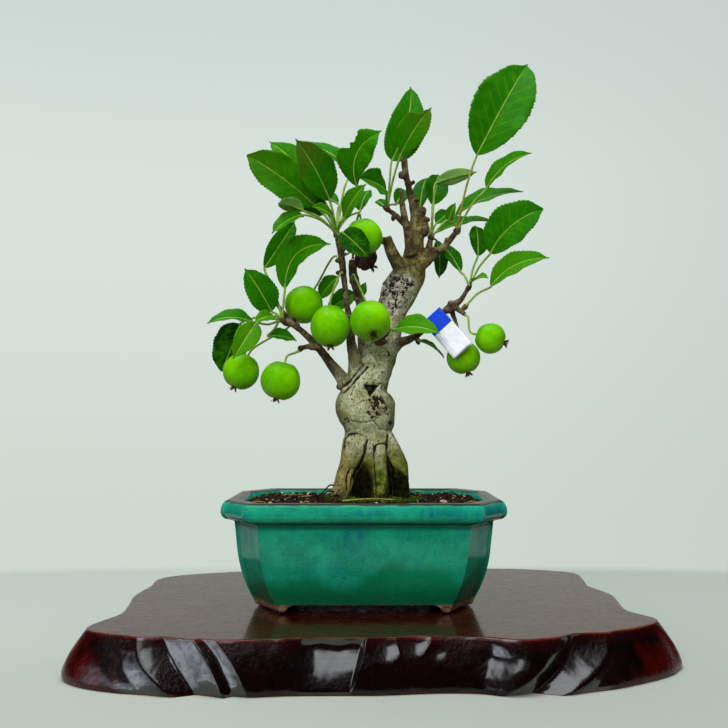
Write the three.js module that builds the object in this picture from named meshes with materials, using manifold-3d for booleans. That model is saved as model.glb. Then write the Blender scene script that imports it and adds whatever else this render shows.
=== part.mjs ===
// A crabapple bonsai in a glazed pot on a lacquered board. Millimetres, +Z up.
// The origin is on the floor under the middle of the board, and +Y points away from the viewer.
// Tree places are given in the tree's own frame: pot centre, and 0 at the level of the soil.

import * as THREE from "three";
import { mergeVertices } from "three/addons/utils/BufferGeometryUtils.js";
import Module from "manifold-3d";

const wasm = await Module();
wasm.setup();

// Driving dimensions

const seatGap = 0.3; // clearance between pieces that touch

const board = {
  thick: 22,
  stations: 70,
  flare: 11, // how far the gouged edge stands out below the top's outline
  gouges: 22,
  gougeDeep: 2.8,
};

const pot = {
  place: [-6.5, -5.5], // its centre on the board
  rimWide: 142,
  rimDeep: 106,
  cornerWide: 13.5, // canted corner, along the long side
  cornerDeep: 20, // and along the short side
  cornerStep: 1.6, // how far the canted face lies behind its neighbours
  footHigh: 4.2,
  floorTop: 9.5,
  drainRadius: 6.5,
  drainApart: 52,
};

const soilLevel = 53; // above the board
const screen = { side: 26, thick: 0.8, holes: 2, holeSide: 8, pitch: 11 };
const bladeThick = 0.7;
const stalkRadius = 0.65;

// Solids: meshes go into manifold-3d to be joined or cut, and come back as geometry

function solidOf(geometry) {
  const bare = geometry.clone();
  bare.deleteAttribute("normal");
  bare.deleteAttribute("uv");
  const merged = mergeVertices(bare, 1e-4);
  return new wasm.Manifold(
    new wasm.Mesh({
      numProp: 3,
      vertProperties: new Float32Array(merged.attributes.position.array),
      triVerts: new Uint32Array(merged.index.array),
    }),
  );
}

function geometryOf(solid) {
  const mesh = solid.getMesh();
  const points = new Float32Array(mesh.numVert * 3);
  for (let i = 0; i < mesh.numVert; i++) {
    const from = i * mesh.numProp;
    points.set(mesh.vertProperties.subarray(from, from + 3), i * 3);
  }
  const geometry = new THREE.BufferGeometry();
  geometry.setAttribute("position", new THREE.BufferAttribute(points, 3));
  geometry.setIndex(new THREE.BufferAttribute(new Uint32Array(mesh.triVerts), 1));
  geometry.computeVertexNormals();
  return geometry;
}

// One body from several; slivers that the joining leaves loose are dropped
function joined(solids) {
  const bodies = solids.reduce((sum, next) => sum.add(next)).decompose();
  return bodies.reduce((main, body) => (body.volume() > main.volume() ? body : main));
}

// A closed skin over rings of equal length, each ring anticlockwise seen from the last one
function loft(rings) {
  const sides = rings[0].length;
  const points = rings.flat();
  const faces = [];
  for (let i = 0; i + 1 < rings.length; i++) {
    for (let j = 0; j < sides; j++) {
      const k = (j + 1) % sides;
      const [a, b] = [i * sides + j, i * sides + k];
      const [c, d] = [b + sides, a + sides];
      faces.push(a, b, c, a, c, d);
    }
  }
  const last = (rings.length - 1) * sides;
  points.push(middleOf(rings[0]), middleOf(rings.at(-1)));
  for (let j = 0; j < sides; j++) {
    const k = (j + 1) % sides;
    faces.push(k, j, points.length - 2);
    faces.push(last + j, last + k, points.length - 1);
  }
  const geometry = new THREE.BufferGeometry().setFromPoints(points);
  geometry.setIndex(faces);
  return geometry;
}

function middleOf(ring) {
  const sum = new THREE.Vector3();
  for (const point of ring) sum.add(point);
  return sum.divideScalar(ring.length);
}

function box(wide, deep, high, x, y, z) {
  return solidOf(new THREE.BoxGeometry(wide, deep, high).translate(x, y, z));
}

// A tapering limb through stations [x, y, z, radius]; extra makes all of it fatter
function limb(stations, sides, steps, extra = 0, flutes = 0) {
  const line = new THREE.CatmullRomCurve3(
    stations.map(([x, y, z]) => new THREE.Vector3(x, y, z)),
    false,
    "centripetal",
  );
  const radii = new THREE.SplineCurve(
    stations.map(([, , , r], i) => new THREE.Vector2(i, r)),
  );
  const rings = [];
  const across = new THREE.Vector3(1, 0, 0);
  for (let i = 0; i <= steps; i++) {
    const t = i / steps;
    const centre = line.getPoint(t);
    const ahead = line.getTangent(t);
    across.addScaledVector(ahead, -across.dot(ahead)).normalize();
    const other = new THREE.Vector3().crossVectors(ahead, across);
    const radius = radii.getPoint(t).y + extra;
    const ring = [];
    for (let j = 0; j < sides; j++) {
      const turn = (2 * Math.PI * j) / sides;
      const swell = radius * (1 + flutes * Math.sin(3 * turn + i * 0.5));
      ring.push(
        centre
          .clone()
          .addScaledVector(across, swell * Math.cos(turn))
          .addScaledVector(other, swell * Math.sin(turn)),
      );
    }
    rings.push(ring);
  }
  return solidOf(loft(rings));
}

// Board: a wavy outline whose edge flares downwards and carries a row of slanted gouges

const boardOutline = [
  [-135, -74], [-109, -90], [-70, -96], [-40, -93], [0, -92], [25, -89], [45, -90], [63, -95],
  [100, -83], [134, -55], [126, -33], [127, -13], [129, 10], [122, 42], [125, 81], [101, 95],
  [76, 99], [16, 95], [-87, 87], [-129, 65], [-131, 34], [-133, 7], [-128, -38],
];
const boardLevels = [
  // height, share of the flare, share of the gouges
  [0, 0.82, 0.2],
  [3, 1, 0.7],
  [9, 0.78, 1],
  [15.5, 0.42, 0.9],
  [20.5, 0.1, 0.25],
  [22, 0, 0],
];

function gougeAt(share, height) {
  let deepest = 0;
  for (let k = 0; k < board.gouges; k++) {
    const centre = (k + 0.5 + 0.28 * Math.sin(2.4 * k)) / board.gouges;
    const away = share - centre - Math.round(share - centre);
    const slant = k % 3 ? 0.0011 : -0.0014;
    const along = (away + slant * (height - 11)) * board.gouges;
    const up = (height - 11 - 2 * Math.sin(1.7 * k)) / 12;
    deepest = Math.max(deepest, 1 - 2.6 * along * along - up * up);
  }
  return board.gougeDeep * Math.sqrt(deepest);
}

function boardGeometry() {
  const line = new THREE.CatmullRomCurve3(
    boardOutline.map(([x, y]) => new THREE.Vector3(x, y, 0)),
    true,
    "centripetal",
  );
  line.arcLengthDivisions = 1000;
  const rings = boardLevels.map(([height, flare, carved]) => {
    const ring = [];
    for (let j = 0; j < board.stations; j++) {
      const share = j / board.stations;
      const ahead = line.getTangentAt(share);
      const out = board.flare * flare - carved * gougeAt(share, height);
      const point = line.getPointAt(share);
      ring.push(new THREE.Vector3(point.x + ahead.y * out, point.y - ahead.x * out, height));
    }
    return ring;
  });
  const geometry = loft(rings);
  geometry.computeBoundingBox();
  const centre = geometry.boundingBox.getCenter(new THREE.Vector3());
  return geometry.translate(-centre.x, -centre.y, 0);
}

// Pot: canted rectangular sections, drawn in from the rim by an inset at each height

const potOutside = [
  [0, 15.2], [4.2, 13.6], [10, 11.1], [17, 8.7], [26, 6.8], [36, 5.7], [43.5, 5], [44.8, 4.4],
  [46, 0.6], [48.8, -1.2], [52.6, -0.8], [54.6, 0.4], [55.3, 2],
];
const potInside = [
  [pot.floorTop, 19], [13, 17], [22, 14], [34, 11.6], [46, 9.6], [53.6, 7.4], [56, 6.2],
];

function potSection(height, inset) {
  const a = pot.rimWide / 2 - inset;
  const b = pot.rimDeep / 2 - inset;
  const n = pot.cornerStep;
  const quarter = [
    [a, b - pot.cornerDeep],
    [a - n, b - pot.cornerDeep],
    [a - pot.cornerWide, b - n],
    [a - pot.cornerWide, b],
  ];
  const mirrored = ([sx, sy], back) => {
    const turned = quarter.map(([x, y]) => new THREE.Vector3(sx * x, sy * y, height));
    return back ? turned.reverse() : turned;
  };
  return [
    ...mirrored([1, 1], false),
    ...mirrored([-1, 1], true),
    ...mirrored([-1, -1], false),
    ...mirrored([1, -1], true),
  ];
}

function potLoft(levels, shrink = 0) {
  return solidOf(loft(levels.map(([height, inset]) => potSection(height, inset + shrink))));
}

// A channel under the pot, with curved ends, that leaves the corner feet on either side
function footChannel(halfLow, halfHigh, long, turned) {
  const outline = new THREE.Shape();
  outline.moveTo(-halfLow, -1);
  outline.lineTo(halfLow, -1);
  outline.lineTo(halfLow, 0);
  const [low, high] = [halfLow - 3.5, halfHigh + 3.5];
  outline.bezierCurveTo(low, 0.6, high, pot.footHigh - 0.6, halfHigh, pot.footHigh);
  outline.lineTo(-halfHigh, pot.footHigh);
  outline.bezierCurveTo(-high, pot.footHigh - 0.6, -low, 0.6, -halfLow, 0);
  outline.closePath();
  const extruded = new THREE.ExtrudeGeometry(outline, {
    depth: long,
    bevelEnabled: false,
    curveSegments: 4,
  });
  extruded.translate(0, 0, -long / 2).rotateX(Math.PI / 2);
  if (turned) extruded.rotateZ(Math.PI / 2);
  return solidOf(extruded);
}

function drainHole(x) {
  const long = 3 * pot.floorTop;
  const round = new THREE.CylinderGeometry(pot.drainRadius, pot.drainRadius, long, 16);
  return solidOf(round.rotateX(Math.PI / 2).translate(x, 0, pot.floorTop / 2));
}

function potSolid() {
  return potLoft(potOutside)
    .subtract(potLoft(potInside))
    .subtract(footChannel(42, 34, pot.rimDeep, false))
    .subtract(footChannel(20, 13, pot.rimWide, true))
    .subtract(drainHole(-pot.drainApart / 2))
    .subtract(drainHole(pot.drainApart / 2));
}

function screenSolid(x) {
  const z = pot.floorTop + seatGap + screen.thick / 2;
  let plate = box(screen.side, screen.side, screen.thick, x, 0, z);
  for (let i = 0; i < screen.holes; i++) {
    for (let j = 0; j < screen.holes; j++) {
      const across = (i - (screen.holes - 1) / 2) * screen.pitch;
      const back = (j - (screen.holes - 1) / 2) * screen.pitch;
      plate = plate.subtract(box(screen.holeSide, screen.holeSide, 3, x + across, back, z));
    }
  }
  return plate;
}

// Tree: limbs as stations [x, y, z, radius] in the tree's frame

const trunk = [
  [3, 0, -18, 9], [3, -1, -4, 11.2], [2, -1, 14, 10], [1.8, 0, 28, 12], [2, 0, 36, 12.5],
  [2, 0, 42, 14.6], [0.8, 0, 49, 16.2], [0.5, 0, 54, 15.4], [0.8, 0, 60, 12.4], [2.8, 0, 65, 11.2],
  [6.6, 1, 73, 9.6], [10, 2, 83, 9.3], [13, 4, 93, 8.4], [16, 5, 104, 8.4], [19, 6, 111, 9.6],
  [22, 6, 118, 9.8], [26, 5, 125, 8.4], [27.5, 3, 132, 6.6], [28, 1, 141, 5.2], [30, 0, 151, 4.7],
  [27.5, -0.5, 160, 2.6], [25, -1, 169, 1.8], [23, -2, 178, 1.8], [22, -3, 187, 1.9],
];
const roots = [
  [[-5, -3, 32, 6], [-8, -6.5, 20, 4.8], [-11, -10, 9, 5], [-13, -12, 0, 5], [-13, -14, -10, 3.5]],
  [[8, -6, 30, 5], [8, -11, 20, 4], [9, -14, 8, 4], [9, -16, 0, 4], [10, -17, -10, 3]],
  [[10, -2, 33, 6.4], [17, -3, 21, 6], [19.5, -4, 9, 4.8], [20, -5, 0, 4.6], [21, -6, -10, 3.2]],
  [[-5, 6, 28, 6], [-10, 10, 13, 5.2], [-13, 13, 0, 4.6], [-15, 15, -10, 3]],
  [[9, 8, 28, 6], [13, 12, 13, 5.2], [16, 15, 0, 4.6], [18, 17, -10, 3]],
];
const branches = {
  rightUpper: [
    [28, 2, 128, 6], [34, 1, 131, 4], [38, 0, 134, 2.8], [42, -1, 136, 2.2],
    [46, -1, 140, 1.8], [50, -2, 145, 1.7],
  ],
  greyStub: [[23, 2, 122, 5], [18, -3, 129, 3.9], [14, -8, 136, 3.3], [12.5, -10, 141.5, 2.4]],
  midStub: [[26, -3, 133, 3.6], [24, -7, 142, 2.4], [21, -10, 157, 1.8], [20, -11, 167, 1.2]],
  centreSpur: [[29, 1, 148, 2.6], [22, 0, 151, 1.9], [18, 0, 155, 1.6], [14, 0, 158, 1.4]],
  uprightFront: [
    [0, -2, 58, 5], [-4, -6, 66, 4.6], [-5, -10, 75, 3.6], [-7, -12, 85, 2.5], [-7, -13, 94, 2],
    [-9, -14, 103, 1.7], [-10, -15, 113, 1.6], [-11, -16, 121, 1.8], [-12, -18, 130, 2],
    [-14, -20, 139, 1.6],
  ],
  uprightBack: [
    [5, 0, 68, 6], [1, 1, 76, 3.6], [-1, 2, 85, 2.7], [-1, 3, 97, 2.5], [-2, 2, 107, 2.6],
    [-4, 0, 115, 2.7], [-6, -3, 122, 2.5], [-6, -5, 130, 2.3],
  ],
  leftLow: [
    [-1, 0, 55, 6], [-9, -3, 62, 4.4], [-17, -9, 72, 2.8], [-25, -15, 82, 2.1],
    [-31, -18, 88, 1.8], [-36, -20, 92, 1.7], [-40, -21, 96, 1.5], [-44, -21, 101, 1.3],
    [-47, -20, 106, 1.1],
  ],
  leftBud: [[-35, -20, 91, 1.5], [-38, -23, 93, 1.6], [-41, -25, 94, 1.4]],
  leftSpur: [[-24, -14, 81, 1.8], [-31, -19, 81, 1.4], [-34, -21, 79, 1.2]],
  rightLow: [
    [13, -1, 80, 5], [19, -4, 84.5, 3], [24, -7, 86, 2.3], [28, -10, 88, 1.9], [32, -13, 91, 1.7],
    [37, -15, 96, 1.6], [42, -16, 100, 1.7], [45, -17, 102, 2.1], [48, -17, 104, 1.9],
    [51, -16, 106, 1.5], [55, -14, 112, 1.2],
  ],
  rightSpur: [[47, -17, 103, 1.7], [51, -19, 100, 1.4], [53, -21, 98, 1.2]],
  rightHangSpur: [[46, -16, 102, 1.6], [48, -14, 97, 1.3], [49, -13, 95, 1.2]],
  behindSpur: [[30, 2, 128, 4], [35, 4, 135, 2.6], [37, 6, 143, 1.6]],
  lowSpur: [[8, -4, 84, 3], [9, -9, 86, 2], [11, -12, 88, 1.4]],
};
const knotHole = { place: [4.5, -14.5, 59.5], radius: 3.4 };

function rootsSolid(extra) {
  const legs = roots.map((leg) => limb(leg, 7, 5, extra));
  return joined([limb(trunk, 13, 29, extra, 0.03), ...legs]);
}

function treeSolid() {
  const limbs = Object.values(branches).map((stations) =>
    limb(stations, 6, stations.length),
  );
  const pit = new THREE.SphereGeometry(knotHole.radius, 8, 6).translate(...knotHole.place);
  return joined([rootsSolid(0), ...limbs]).subtract(solidOf(pit));
}

function soilSolid() {
  const body = potInside.filter(([height]) => height < soilLevel - 2);
  body.push([soilLevel - 0.8, 7.6], [soilLevel, 14], [soilLevel + 0.8, 26], [soilLevel + 1.4, 36]);
  let filled = potLoft(body, seatGap).intersect(
    box(pot.rimWide, pot.rimDeep, 60, 0, 0, pot.floorTop + seatGap + 30),
  );
  const recess = screen.side + 2 * seatGap;
  const deep = screen.thick + 2 * seatGap;
  for (const x of [-pot.drainApart / 2, pot.drainApart / 2]) {
    filled = filled.subtract(box(recess, recess, 2 * deep, x, 0, pot.floorTop + seatGap));
  }
  return filled.subtract(rootsSolid(seatGap + 0.15).translate([0, 0, soilLevel]));
}

// Seats on a branch: at its end, or on its side facing a given place

function endSeat(stations) {
  const end = new THREE.Vector3(...stations.at(-1).slice(0, 3));
  const before = new THREE.Vector3(...stations.at(-2).slice(0, 3));
  const ahead = end.clone().sub(before).normalize();
  return { start: end.addScaledVector(ahead, seatGap), ahead, radius: stations.at(-1)[3] };
}

function sideSeat(stations, index, toward) {
  const [x, y, z, radius] = stations[index];
  const centre = new THREE.Vector3(x, y, z);
  const next = new THREE.Vector3(...stations[index + 1].slice(0, 3));
  const limbWay = next.sub(centre).normalize();
  const ahead = new THREE.Vector3(...toward).sub(centre);
  ahead.addScaledVector(limbWay, -ahead.dot(limbWay)).normalize();
  return { start: centre.addScaledVector(ahead, radius + seatGap), ahead, radius: 1.2 };
}

// Leaves: an oval, pointed blade with a toothed edge, folded and arched along its midrib

const leafHabit = { fold: 0.28, arch: 0.09, sway: 0, wave: 0.09, belly: 0.82 };

function bladeHalfWidth(t, belly) {
  return Math.pow(Math.sin(Math.PI * Math.pow(t, belly)), 0.8);
}

function ribOf(leaf) {
  const base = new THREE.Vector3(...leaf.base);
  const tip = new THREE.Vector3(...leaf.tip);
  const way = tip.clone().sub(base);
  const long = way.length();
  way.normalize();
  const face = new THREE.Vector3(...leaf.face);
  face.addScaledVector(way, -face.dot(way)).normalize();
  const side = new THREE.Vector3().crossVectors(way, face);
  const control = base
    .clone()
    .lerp(tip, 0.5)
    .addScaledVector(face, 2 * long * leaf.arch)
    .addScaledVector(side, 2 * long * leaf.sway);
  return { curve: new THREE.QuadraticBezierCurve3(base, control, tip), face, long };
}

function blade(leaf, order) {
  const rib = ribOf(leaf);
  const stations = Math.round(THREE.MathUtils.clamp(rib.long / 5.2, 4, 10));
  const points = [];
  for (let i = 0; i <= stations; i++) {
    const t = i / stations;
    const centre = rib.curve.getPoint(t);
    const ahead = rib.curve.getTangent(t);
    const up = rib.face.clone().addScaledVector(ahead, -rib.face.dot(ahead)).normalize();
    const side = new THREE.Vector3().crossVectors(ahead, up);
    const tooth = i % 2 ? 1.06 : 0.94;
    const half = Math.max(0.45, (leaf.wide / 2) * bladeHalfWidth(t, leaf.belly) * tooth);
    for (const hand of [1, 0, -1]) {
      const ripple = leaf.wave * Math.sin(7 * t + 1.7 * order + hand);
      const lift = Math.abs(hand) * half * (Math.sin(leaf.fold) + ripple);
      const out = hand * half * Math.cos(leaf.fold);
      const middle = centre.clone().addScaledVector(side, out).addScaledVector(up, lift);
      points.push(middle.clone().addScaledVector(up, bladeThick / 2));
      points.push(middle.addScaledVector(up, -bladeThick / 2));
    }
  }
  return solidOf(bladeSkin(points, stations));
}

// Six points a station: left, rib and right, each above and below
function bladeSkin(points, stations) {
  const faces = [];
  const quad = (a, b, c, d) => faces.push(a, c, b, a, d, c);
  for (let i = 0; i < stations; i++) {
    const near = 6 * i;
    const far = near + 6;
    for (const column of [0, 2]) {
      const [a, b] = [near + column, near + column + 2];
      const [c, d] = [far + column + 2, far + column];
      quad(a, b, c, d);
      faces.push(a + 1, b + 1, c + 1, a + 1, c + 1, d + 1);
    }
    quad(near, far, far + 1, near + 1);
    quad(near + 4, near + 5, far + 5, far + 4);
  }
  const end = 6 * stations;
  quad(0, 1, 3, 2);
  quad(2, 3, 5, 4);
  quad(end, end + 2, end + 3, end + 1);
  quad(end + 2, end + 4, end + 5, end + 3);
  const geometry = new THREE.BufferGeometry().setFromPoints(points);
  geometry.setIndex(faces);
  return geometry;
}

function leafSolids(leaf, order, from) {
  const full = { ...leafHabit, ...leaf };
  const rib = ribOf(full).curve;
  const base = rib.getPoint(0);
  const inside = rib.getPoint(0.08);
  const bowed = from.clone().lerp(base, 0.5);
  bowed.z += 0.1 * from.distanceTo(base) * (full.droop ? -1 : 1);
  const stalk = [
    [...from.toArray(), 0.95],
    [...bowed.toArray(), stalkRadius],
    [...base.toArray(), stalkRadius],
    [...inside.toArray(), 0.5],
  ];
  return [blade(full, order), limb(stalk, 3, 3)];
}

function sprayNode(name, seat, leaves) {
  const { start, ahead, radius } = seat;
  const bud = [0, 1.8, 3.6].map((along, i) => {
    const place = start.clone().addScaledVector(ahead, along);
    return [...place.toArray(), radius * [1, 1.15, 0.6][i]];
  });
  const solids = leaves.flatMap((leaf, order) => {
    const along = 0.9 + (2.2 * order) / leaves.length;
    return leafSolids(leaf, order, start.clone().addScaledVector(ahead, along));
  });
  return named(name, geometryOf(joined([limb(bud, 5, 2), ...solids])), leafGreen);
}

// Fruit: a turned apple with a dimple at the stalk, a dried calyx, and its stalk to a seat

const appleProfile = [
  // share of the radius out, share of the radius up
  [0, 0.84], [0.36, 0.95], [0.73, 0.71], [0.97, 0.28], [0.98, -0.2], [0.78, -0.65],
  [0.4, -0.94], [0, -0.9],
];

function appleNode(name, fruit, seat, material) {
  const centre = new THREE.Vector3(...fruit.place);
  const axis = new THREE.Vector3(...fruit.hangs).normalize(); // from stalk to calyx
  const turn = new THREE.Quaternion().setFromUnitVectors(new THREE.Vector3(0, -1, 0), axis);
  const outline = appleProfile
    .map(([out, up]) => new THREE.Vector2(out * fruit.radius, up * fruit.radius * fruit.tall))
    .reverse();
  const flesh = new THREE.LatheGeometry(outline, 10).applyQuaternion(turn);
  const solids = [solidOf(flesh.translate(...centre.toArray()))];
  const under = 0.88 * fruit.radius * fruit.tall;
  for (let k = 0; k < 5; k++) {
    const angle = (2 * Math.PI * k) / 5;
    const spread = (out, down) =>
      new THREE.Vector3(out * Math.cos(angle), -down, out * Math.sin(angle))
        .applyQuaternion(turn)
        .add(centre)
        .toArray();
    const sepal = [
      [...spread(1, under), 0.55],
      [...spread(1.9, under + 3), 0.35],
    ];
    solids.push(limb(sepal, 3, 1));
  }
  const crown = centre.clone().addScaledVector(axis, -fruit.radius * fruit.tall * 0.7);
  const above = centre.clone().addScaledVector(axis, -fruit.radius * fruit.tall - 3);
  const out = seat.start.clone().addScaledVector(seat.ahead, 2);
  const stalk = [seat.start, out, above, crown].map((place) => [...place.toArray(), stalkRadius]);
  solids.push(limb(stalk, 4, 4));
  return named(name, geometryOf(joined(solids)), material);
}

// Plant label: a narrow card folded over a twig

const label = {
  fold: [37.5, -15, 96.4], // on the twig
  foldWay: [0.73, -0.16, 0.66], // along the twig
  downWay: [0.58, -0.36, -0.73], // from the twig to the card's free end
  wide: 12.4,
  frontLong: 25,
  backLong: 24,
  loopRadius: 2.4,
  thick: 0.6,
};

function labelNode() {
  const { loopRadius: inner, thick } = label;
  const outer = inner + thick;
  const outline = new THREE.Shape();
  outline.moveTo(label.frontLong, -outer);
  outline.lineTo(label.frontLong, -inner);
  outline.lineTo(0, -inner);
  outline.absarc(0, 0, inner, -Math.PI / 2, Math.PI / 2, true);
  outline.lineTo(label.backLong, inner - 1);
  outline.lineTo(label.backLong, outer - 1);
  outline.lineTo(0, outer);
  outline.absarc(0, 0, outer, Math.PI / 2, -Math.PI / 2, false);
  outline.closePath();
  const card = new THREE.ExtrudeGeometry(outline, {
    depth: label.wide,
    bevelEnabled: false,
    curveSegments: 6,
  });
  card.translate(0, 0, -label.wide / 2);
  const down = new THREE.Vector3(...label.downWay).normalize();
  const along = new THREE.Vector3(...label.foldWay);
  along.addScaledVector(down, -along.dot(down)).normalize();
  const back = new THREE.Vector3().crossVectors(along, down);
  card.applyMatrix4(new THREE.Matrix4().makeBasis(down, back, along));
  return named("plant_label", card.translate(...label.fold), cardWhite);
}

// Materials

function finish(color, roughness, metalness = 0) {
  return new THREE.MeshStandardMaterial({ color, roughness, metalness });
}

const lacquer = finish(0x3a0507, 0.25);
const glaze = finish(0x1f8570, 0.2);
const earth = finish(0x3b2a1e, 0.95);
const meshPlastic = finish(0x20242a, 0.6);
const bark = finish(0x8c8a6c, 0.85);
const leafGreen = finish(0x3f8516, 0.45);
const appleGreen = finish(0x62ac12, 0.3);
const oldApple = finish(0x3a1a10, 0.7);
const cardWhite = finish(0xf2f4f8, 0.5);

function named(name, geometry, material) {
  const mesh = new THREE.Mesh(geometry, material);
  mesh.name = name;
  return mesh;
}

// Leaves of each spray: base and tip of the blade, its width and the way its upper side faces

const up = [0, -1, 0.5]; // most blades face the viewer and the light
const under = [0.1, 1, 0.6]; // these show their underside

const upperLeft = [
  { base: [-26, -26, 155], tip: [-60, -38, 178], wide: 23.5, face: [-0.2, -1, 0.35], belly: 0.95 },
  { base: [-18, -30, 157], tip: [-34.5, -46, 184], wide: 20.5, face: [0.2, -1, 0.2], belly: 0.85 },
  { base: [-24, -14, 165], tip: [-52, -4, 195.5], wide: 17, face: [-0.3, -0.7, 0.8] },
  { base: [-8, 1, 182], tip: [-37, 13, 200], wide: 12, face: [0.1, -0.8, 0.9], belly: 0.7 },
  {
    base: [-3.5, -22, 165.5], tip: [9, -36, 191.5], wide: 20.5, face: up, arch: 0.16, sway: -0.17,
    belly: 1.15,
  },
  { base: [-31, -34, 150], tip: [-43, -47, 151], wide: 9, face: under },
  { base: [-20, -18, 153], tip: [-36, -22, 158.5], wide: 12, face: [0.1, -1, 0.2] },
  { base: [-31, -34, 148], tip: [-46, -46, 136], wide: 10.5, face: [-0.4, -1, 0.4] },
  { base: [-16, -33, 147], tip: [-26, -44, 150], wide: 8, face: up },
  { base: [-14, -8, 160], tip: [-32, 6, 168], wide: 11, face: [0, -0.8, 0.9] },
  { base: [-10, -31, 147], tip: [1, -42, 162], wide: 11, face: [-0.4, -1, 0.3] },
  { base: [-2, -4, 157], tip: [3, 6, 171], wide: 11, face: [-0.5, -1, 0.2] },
  { base: [-11, -38, 138], tip: [2, -41, 125], wide: 13, face: [0.1, -1, 0.15], droop: true },
];
const centre = [
  { base: [15.5, 3, 187], tip: [26.5, 14, 233], wide: 22, face: [0.3, -1, 0.3], sway: 0.05, belly: 0.62 },
  { base: [20, -8, 187], tip: [36, -19, 209.5], wide: 18, face: [-0.2, -1, 0.2], belly: 1.1 },
  { base: [12, -12, 166], tip: [-3, -24, 170], wide: 17, face: up },
  { base: [18, 6, 163], tip: [23, 16, 174], wide: 9, face: [0.3, -1, 0.5] },
  { base: [12, 6, 161], tip: [7, 14, 167], wide: 6, face: up },
];
const rightTop = [
  { base: [62, -4, 188], tip: [93, 11, 245], wide: 34, face: [0.1, -1, 0.35], fold: 0.36 },
  { base: [66, -14, 167], tip: [88, -25, 183], wide: 14, face: [-0.5, -0.7, 0.7], sway: -0.08 },
  { base: [46, -7, 151], tip: [49, -14, 159], wide: 6, face: up },
];
const rightBehind = [
  { base: [51, 7, 157], tip: [88.5, 3, 169.5], wide: 17, face: [-0.3, -0.6, 0.9] },
  { base: [42, 12, 149], tip: [77, 26, 157], wide: 13, face: [-0.2, -0.6, 0.9] },
  { base: [41, 15, 154], tip: [51, 28, 163], wide: 10, face: up },
  { base: [39, 16, 165], tip: [43, 28, 186], wide: 14, face: [0.2, -1, 0.2] },
  { base: [32, 18, 163], tip: [37, 36, 186], wide: 11, face: [-0.3, -1, 0.2] },
  { base: [40, 6, 175], tip: [63, 5, 181], wide: 9, face: under },
  { base: [41, 13, 144], tip: [43, 22, 124], wide: 10, face: [0.4, -1, 0.1], droop: true },
];
const rightLow = [
  { base: [67, -18, 131], tip: [93, -30, 152], wide: 23.5, face: [-0.1, -1, 0.4], sway: -0.08, belly: 0.95 },
  { base: [62, -4, 132], tip: [62, 6, 151], wide: 12, face: [0.3, -1, 0.1] },
  { base: [53, 0, 124], tip: [42, 10, 142], wide: 9, face: [0.4, -1, 0.2] },
  { base: [57, -21, 116], tip: [64, -30, 116], wide: 7, face: [0, -0.7, 0.8] },
];
const rightSpurLeaf = [
  { base: [66, -26, 112], tip: [94, -38, 125], wide: 15, face: [-0.3, -0.8, 0.6], sway: -0.1 },
];
const left = [
  { base: [-48, -27, 99], tip: [-61, -35, 120], wide: 17, face: [0.2, -1, 0.2] },
  { base: [-52, -25, 122], tip: [-37, -15, 149], wide: 12, face: [0.5, -1, 0.2] },
  { base: [-41, -27, 111], tip: [-17, -38, 132], wide: 17, face: up, sway: -0.24 },
  { base: [-57, -28, 93], tip: [-80, -34, 92], wide: 12, face: [0, -0.7, 0.9], arch: 0.14 },
  { base: [-66, -13, 94], tip: [-77, -6, 69], wide: 21, face: [-0.2, -1, 0.1], arch: -0.04 },
  { base: [-55, -34, 92], tip: [-65, -46, 73], wide: 12.5, face: [0.3, -0.9, 0.3], droop: true },
  { base: [-46, -32, 96], tip: [-55, -41, 92], wide: 8, face: up },
  { base: [-50, -27, 86], tip: [-35, -23, 84], wide: 10, face: [0, -0.7, 0.8], droop: true },
];
const betweenFruit = [
  { base: [-14, -8, 120], tip: [-24, -6, 108], wide: 11, face: [-0.3, -1, 0.4] },
];
const behindFruit = [
  { base: [-5, 8, 113], tip: [-20, 8, 103], wide: 13, face: up },
];
const lowFront = [
  { base: [16, -22, 90], tip: [39, -32, 87], wide: 15, face: [0, -0.8, 0.7], arch: 0.12 },
];
const labelSide = [
  { base: [29, -15, 85], tip: [43, -9, 76], wide: 7, face: [0.3, -0.3, 0.9], droop: true },
];
const tinyShoot = [{ base: [-1, -3, 111], tip: [1, -8, 117], wide: 5, face: up }];

const b = branches;
const bunches = [
  ["leaves_upper_left", endSeat(b.uprightFront), upperLeft],
  ["leaves_centre", endSeat(b.centreSpur), centre],
  ["leaves_right_top", endSeat(b.rightUpper), rightTop],
  ["leaves_right_behind", endSeat(b.behindSpur), rightBehind],
  ["leaves_right_low", endSeat(b.rightLow), rightLow],
  ["leaf_right_spur", sideSeat(b.rightSpur, 1, [58, -20, 105]), rightSpurLeaf],
  ["leaves_left", endSeat(b.leftBud), left],
  ["leaf_between_fruit", sideSeat(b.uprightFront, 7, [-16, -10, 122]), betweenFruit],
  ["leaf_behind_fruit", sideSeat(b.uprightBack, 5, [-4, 8, 115]), behindFruit],
  ["leaf_low_front", endSeat(b.lowSpur), lowFront],
  ["leaf_label_side", sideSeat(b.rightLow, 3, [30, -14, 84]), labelSide],
  ["leaf_tiny_shoot", sideSeat(b.uprightBack, 5, [0, -6, 117]), tinyShoot],
];

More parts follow.
